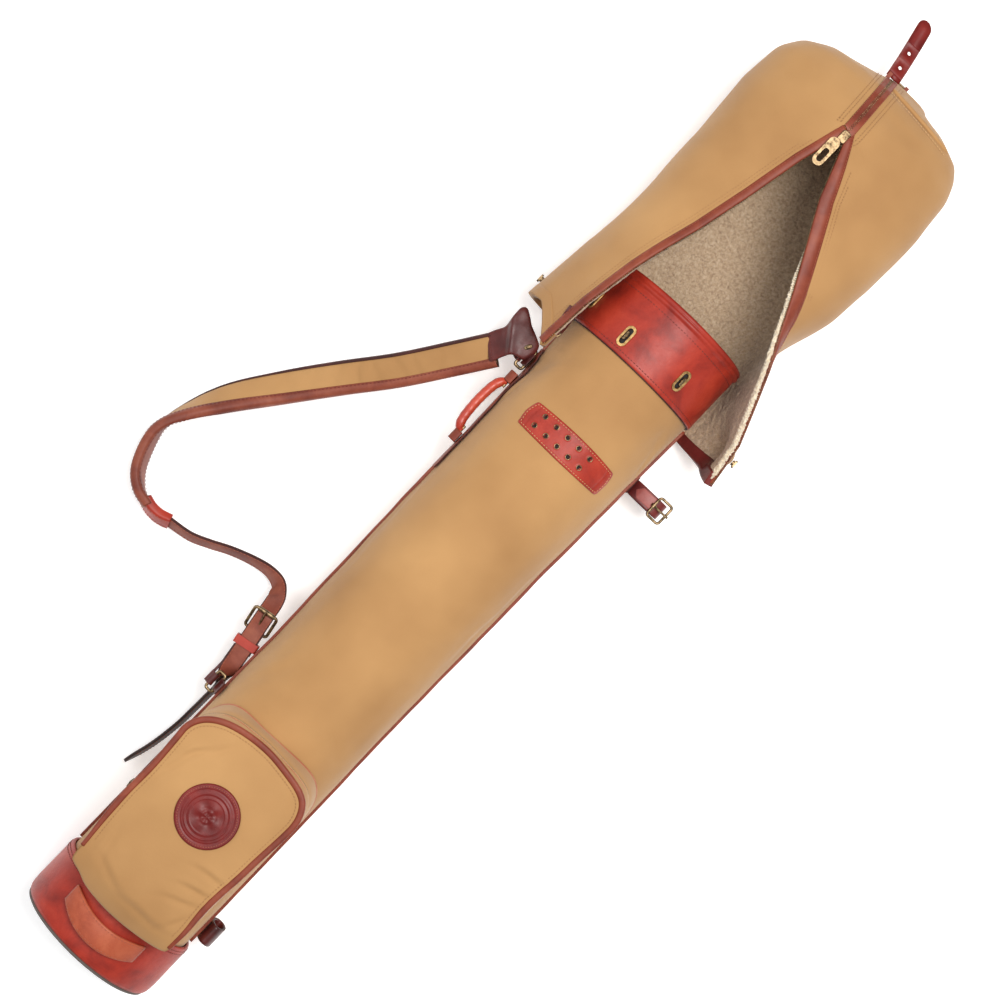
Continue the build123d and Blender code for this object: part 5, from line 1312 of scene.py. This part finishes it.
# closed zip
ys_ = np.linspace(1117, 1199, 70)
G, _ = hood_grid(ys_, HC)
e = G[:, 0].copy()
W_ = G[:, 6] - G[:, -7]
W_ /= np.linalg.norm(W_, axis=1, keepdims=True)
t = tangents(e)
W_ -= t * np.sum(W_ * t, 1, keepdims=True)
W_ /= np.linalg.norm(W_, axis=1, keepdims=True)
N_ = np.cross(t, W_)
if N_[10][2] < 0:
    N_ = -N_
sweep("hood_zip_closed_band", e + N_ * 0.7, W_, N_, round_prof(14.0, 2.6, 1.1, 4), [RUST], "hood", slot="leather_rust", replaces=("hood_zip_closed",))
V, F = stitch_mesh([(e + N_ * 1.9 + W_ * 0.9, N_), (e + N_ * 1.9 - W_ * 0.9, N_)], pitch=2.3, length=1.3, r=0.75)
make("hood_zip_closed_teeth", V, F, BRASS, "hood")
ln = [(e + N_ * z + W_ * w, N_) for w, z in ((6.4, 2.0), (-6.4, 2.0))]
stitches("hood_zip_closed_thread", ln, "hood", THREAD_RED, slot="leather_rust", pitch=3.2, length=2.2, r=0.3)
ln = [(e + N_ * z + W_ * w, N_) for w, z in ((12.0, 0.3), (-12.0, 0.3), (15.5, 0.2), (-15.5, 0.2))]
stitches("hood_zip_closed_rows", ln, "hood", THREAD_CV, slot="canvas", pitch=3.2, length=2.2, r=0.3)
# cap seam: a turned ridge over the top end
j0 = int(HC * 0.80)
rid = []
for f_ in np.linspace(0.0, 1.0, 60):
    y = 1190 - 10 * math.sin(f_ * 1.2)
    x, z, ff = hood_curve(y)
    k_ = int(HC - 1 - f_ * 0.20 * HC)
    rid.append((x[k_], y, z[k_] + 0.4))
pipe("hood_cap_ridge", catmull(rid[::3], 80), 2.6 * np.clip(np.minimum(np.arange(80), 79 - np.arange(80)) / 8.0, 0.2, 1), [CANVAS], "hood", slot="canvas")
rid2 = [(a, b - 5.5, c) for a, b, c in rid[4:-4]]
ln = []
q = np.array(rid2)
for i in range(len(q)):
    x, z, ff = hood_curve(q[i, 1])
    k_ = int(np.argmin(abs(x - q[i, 0]) + 1000 * (z < 75)))
    q[i, 2] = z[k_] + 0.9
stitches("hood_cap_thread", [(q, np.tile([0.15, 0, 1.0], (len(q), 1)))], "hood", THREAD, slot="canvas", pitch=3.8)

# top strap with two punched holes
def strap_with_holes(name, y0, y1, holes, w, t, place, mats, body, replaces):
    V, F, uv = [], [], []
    def quad_ring(inner, outer):
        k = len(inner)
        o = len(V)
        for top in (1, 0):
            for q in inner + outer:
                V.append(place(q[0], q[1], t / 2 if top else -t / 2))
                uv.append(q)
        for j in range(k):
            a, b = j, (j + 1) % k
            F.append((o + a, o + k + a, o + k + b, o + b))
            F.append((o + 2 * k + b, o + 3 * k + b, o + 3 * k + a, o + 2 * k + a))
            F.append((o + b, o + 2 * k + b, o + 2 * k + a, o + a))
    def on_sq(c, a):
        m = max(abs(math.cos(a)), abs(math.sin(a)))
        return (w / 2 * math.cos(a) / m, c + w / 2 * math.sin(a) / m)
    ev = sorted(holes)
    segs, y = [], y0
    for h in ev:
        segs.append((y, h - w / 2))
        y = h + w / 2
        an = [2 * math.pi * k / 24 for k in range(24)]
        quad_ring([(1.9 * math.cos(a), h + 1.9 * math.sin(a)) for a in an], [on_sq(h, a) for a in an])
    segs.append((y, y1))
    for a, b in segs:
        if b - a < 0.2:
            continue
        k = max(2, int((b - a) / 1.5))
        o = len(V)
        for i in range(k + 1):
            y = a + (b - a) * i / k
            ww = w * math.sqrt(max(0.06, 1 - max(0, (y - (y1 - 9)) / 9) ** 2.4))
            for x, z in ((-ww / 2, t / 2), (ww / 2, t / 2), (ww / 2, -t / 2), (-ww / 2, -t / 2)):
                V.append(place(x, y, z))
                uv.append((x, y))
        for i in range(k):
            for j in range(4):
                p_, q_ = o + i * 4 + j, o + i * 4 + (j + 1) % 4
                F.append((q_, p_, p_ + 4, q_ + 4))
        F.append((o, o + 1, o + 2, o + 3))
        F.append((o + k * 4 + 3, o + k * 4 + 2, o + k * 4 + 1, o + k * 4))
    for h in ev:
        for s in (-1, 1):
            o = len(V)
            y_a, y_b = h - w / 2, h + w / 2
            for y, z in ((y_a, t / 2), (y_b, t / 2), (y_b, -t / 2), (y_a, -t / 2)):
                V.append(place(s * w / 2, y, z))
                uv.append((s * w / 2, y))
            F.append((o, o + 1, o + 2, o + 3) if s < 0 else (o + 3, o + 2, o + 1, o))
    return make(name, V, F, mats, body, replaces, np.array(uv))


b0, b1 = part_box("hood_top_strap")
b0, b1 = np.array(b0) / MM, np.array(b1) / MM
cx2, cz2 = (b0[0] + b1[0]) / 2, (b0[2] + b1[2]) / 2
strap_off = lambda y: -1.5 - 13.5 * max(0.0, (y - 1208) / 65.0) ** 1.15
strap_with_holes("top_strap_leather", b0[1] + 1.0, b1[1] + 5.0, (1221.5, 1238.5), 16.8, 2.6, lambda x, y, z: (cx2 + x + strap_off(y), y, cz2 + z + 0.8 * math.sin((y - b0[1]) * 0.05)), PATCH, "hood_top_strap", ("hood_top_strap",))
ln = [(np.array([[cx2 + s_ * 7.0 + strap_off(y), y, cz2 + 1.3 + 0.8 * math.sin((y - b0[1]) * 0.05)] for y in np.linspace(b0[1] + 4, b1[1] - 4, 30)]), np.tile([0, 0, 1.0], (30, 1))) for s_ in (-1, 1)]
stitches("top_strap_thread", ln, "hood_top_strap", THREAD_DK, slot="leather_red", pitch=3.2, r=0.3)

# leather keeper and ring on the left zip's lower end
tb = catmull([(-84, 806, 139), (-83, 796, 136), (-82.4, 788, 129), (-82.2, 782, 122)], 24)
W_, N_ = frame_along(tb, 0)
sweep("hood_corner_tab", tb + N_ * 2.6, W_, N_, round_prof(12, 2.4, 1.0, 4), [DARK], "hood", slot="leather_dark")
a = np.linspace(0, 2 * math.pi, 41)[:-1]
pipe("hood_corner_ring", np.array([(-82.2 + 5.0 * math.cos(q), 778.0 + 5.0 * math.sin(q), 121 - 0.5 * math.sin(q)) for q in a]), 1.0, [BRASS], "hood", closed=True, slot="antique_brass")

# ------------------------------------------------- CAD hardware's finishes
SLOT_MAT = {"canvas": CANVAS, "nylon_liner": LINER, "leather_red": RED, "leather_dark": DARK, "leather_rust": RUST, "leather_patch": PATCH,
            "fleece": FLEECE, "antique_brass": BRASS, "sole_rubber": SOLE, "hard_plastic": TAPE, "steel_band": BRASS}
for nm, o in NODES.items():
    for i, s_ in enumerate(o.material_slots):
        key = (s_.material.name.split(".")[0] if s_.material else "")
        if key in SLOT_MAT:
            s_.material = BRASS_L if nm == "cuff_turn_plates" else SLOT_MAT[key]

# ------------------------------------------------------ floor and lighting
def stage_mesh(name, v, f, mat):
    me = bpy.data.meshes.new(name)
    me.from_pydata(v, [], f)
    me.materials.append(mat)
    o = bpy.data.objects.new(name, me)
    bpy.context.scene.collection.objects.link(o)
    return o


FL = bpy.data.materials.new("floor_white")
FL.use_nodes = True
bb = next(n for n in FL.node_tree.nodes if n.type == "BSDF_PRINCIPLED")
bb.inputs["Base Color"].default_value = (0.93, 0.93, 0.93, 1)
bb.inputs["Roughness"].default_value = 0.9
bb.inputs["Emission Color"].default_value = (1, 1, 1, 1)
bb.inputs["Emission Strength"].default_value = 0.30
stage_mesh("floor", [(-6, -6, -0.0015), (6, -6, -0.0015), (6, 6, -0.0015), (-6, 6, -0.0015)], [(0, 1, 2, 3)], FL)


def area(name, loc, target, size, power, color=(1, 1, 1)):
    d_ = bpy.data.lights.new(name, "AREA")
    d_.shape = "DISK"
    d_.size = size
    d_.energy = power
    d_.color = color
    o = bpy.data.objects.new(name, d_)
    bpy.context.scene.collection.objects.link(o)
    o.location = loc
    o.rotation_euler = (Vector(target) - Vector(loc)).to_track_quat("-Z", "Y").to_euler()
    return o


area("key", (0.55, 1.25, 2.75), (0, 0.6, 0.05), 1.1, 70, (1.0, 0.985, 0.96))
area("fill", (-1.9, 0.4, 1.9), (0, 0.6, 0.05), 1.8, 15, (0.97, 0.985, 1.0))
area("top", (-0.3, 0.3, 3.1), (0, 0.6, 0.0), 2.2, 24)
w = bpy.data.worlds.new("world")
w.use_nodes = True
bg = next(n for n in w.node_tree.nodes if n.type == "BACKGROUND")
bg.inputs[0].default_value = (1, 1, 1, 1)
bg.inputs[1].default_value = 0.42
bpy.context.scene.world = w
bpy.context.scene.view_settings.view_transform = "Standard"

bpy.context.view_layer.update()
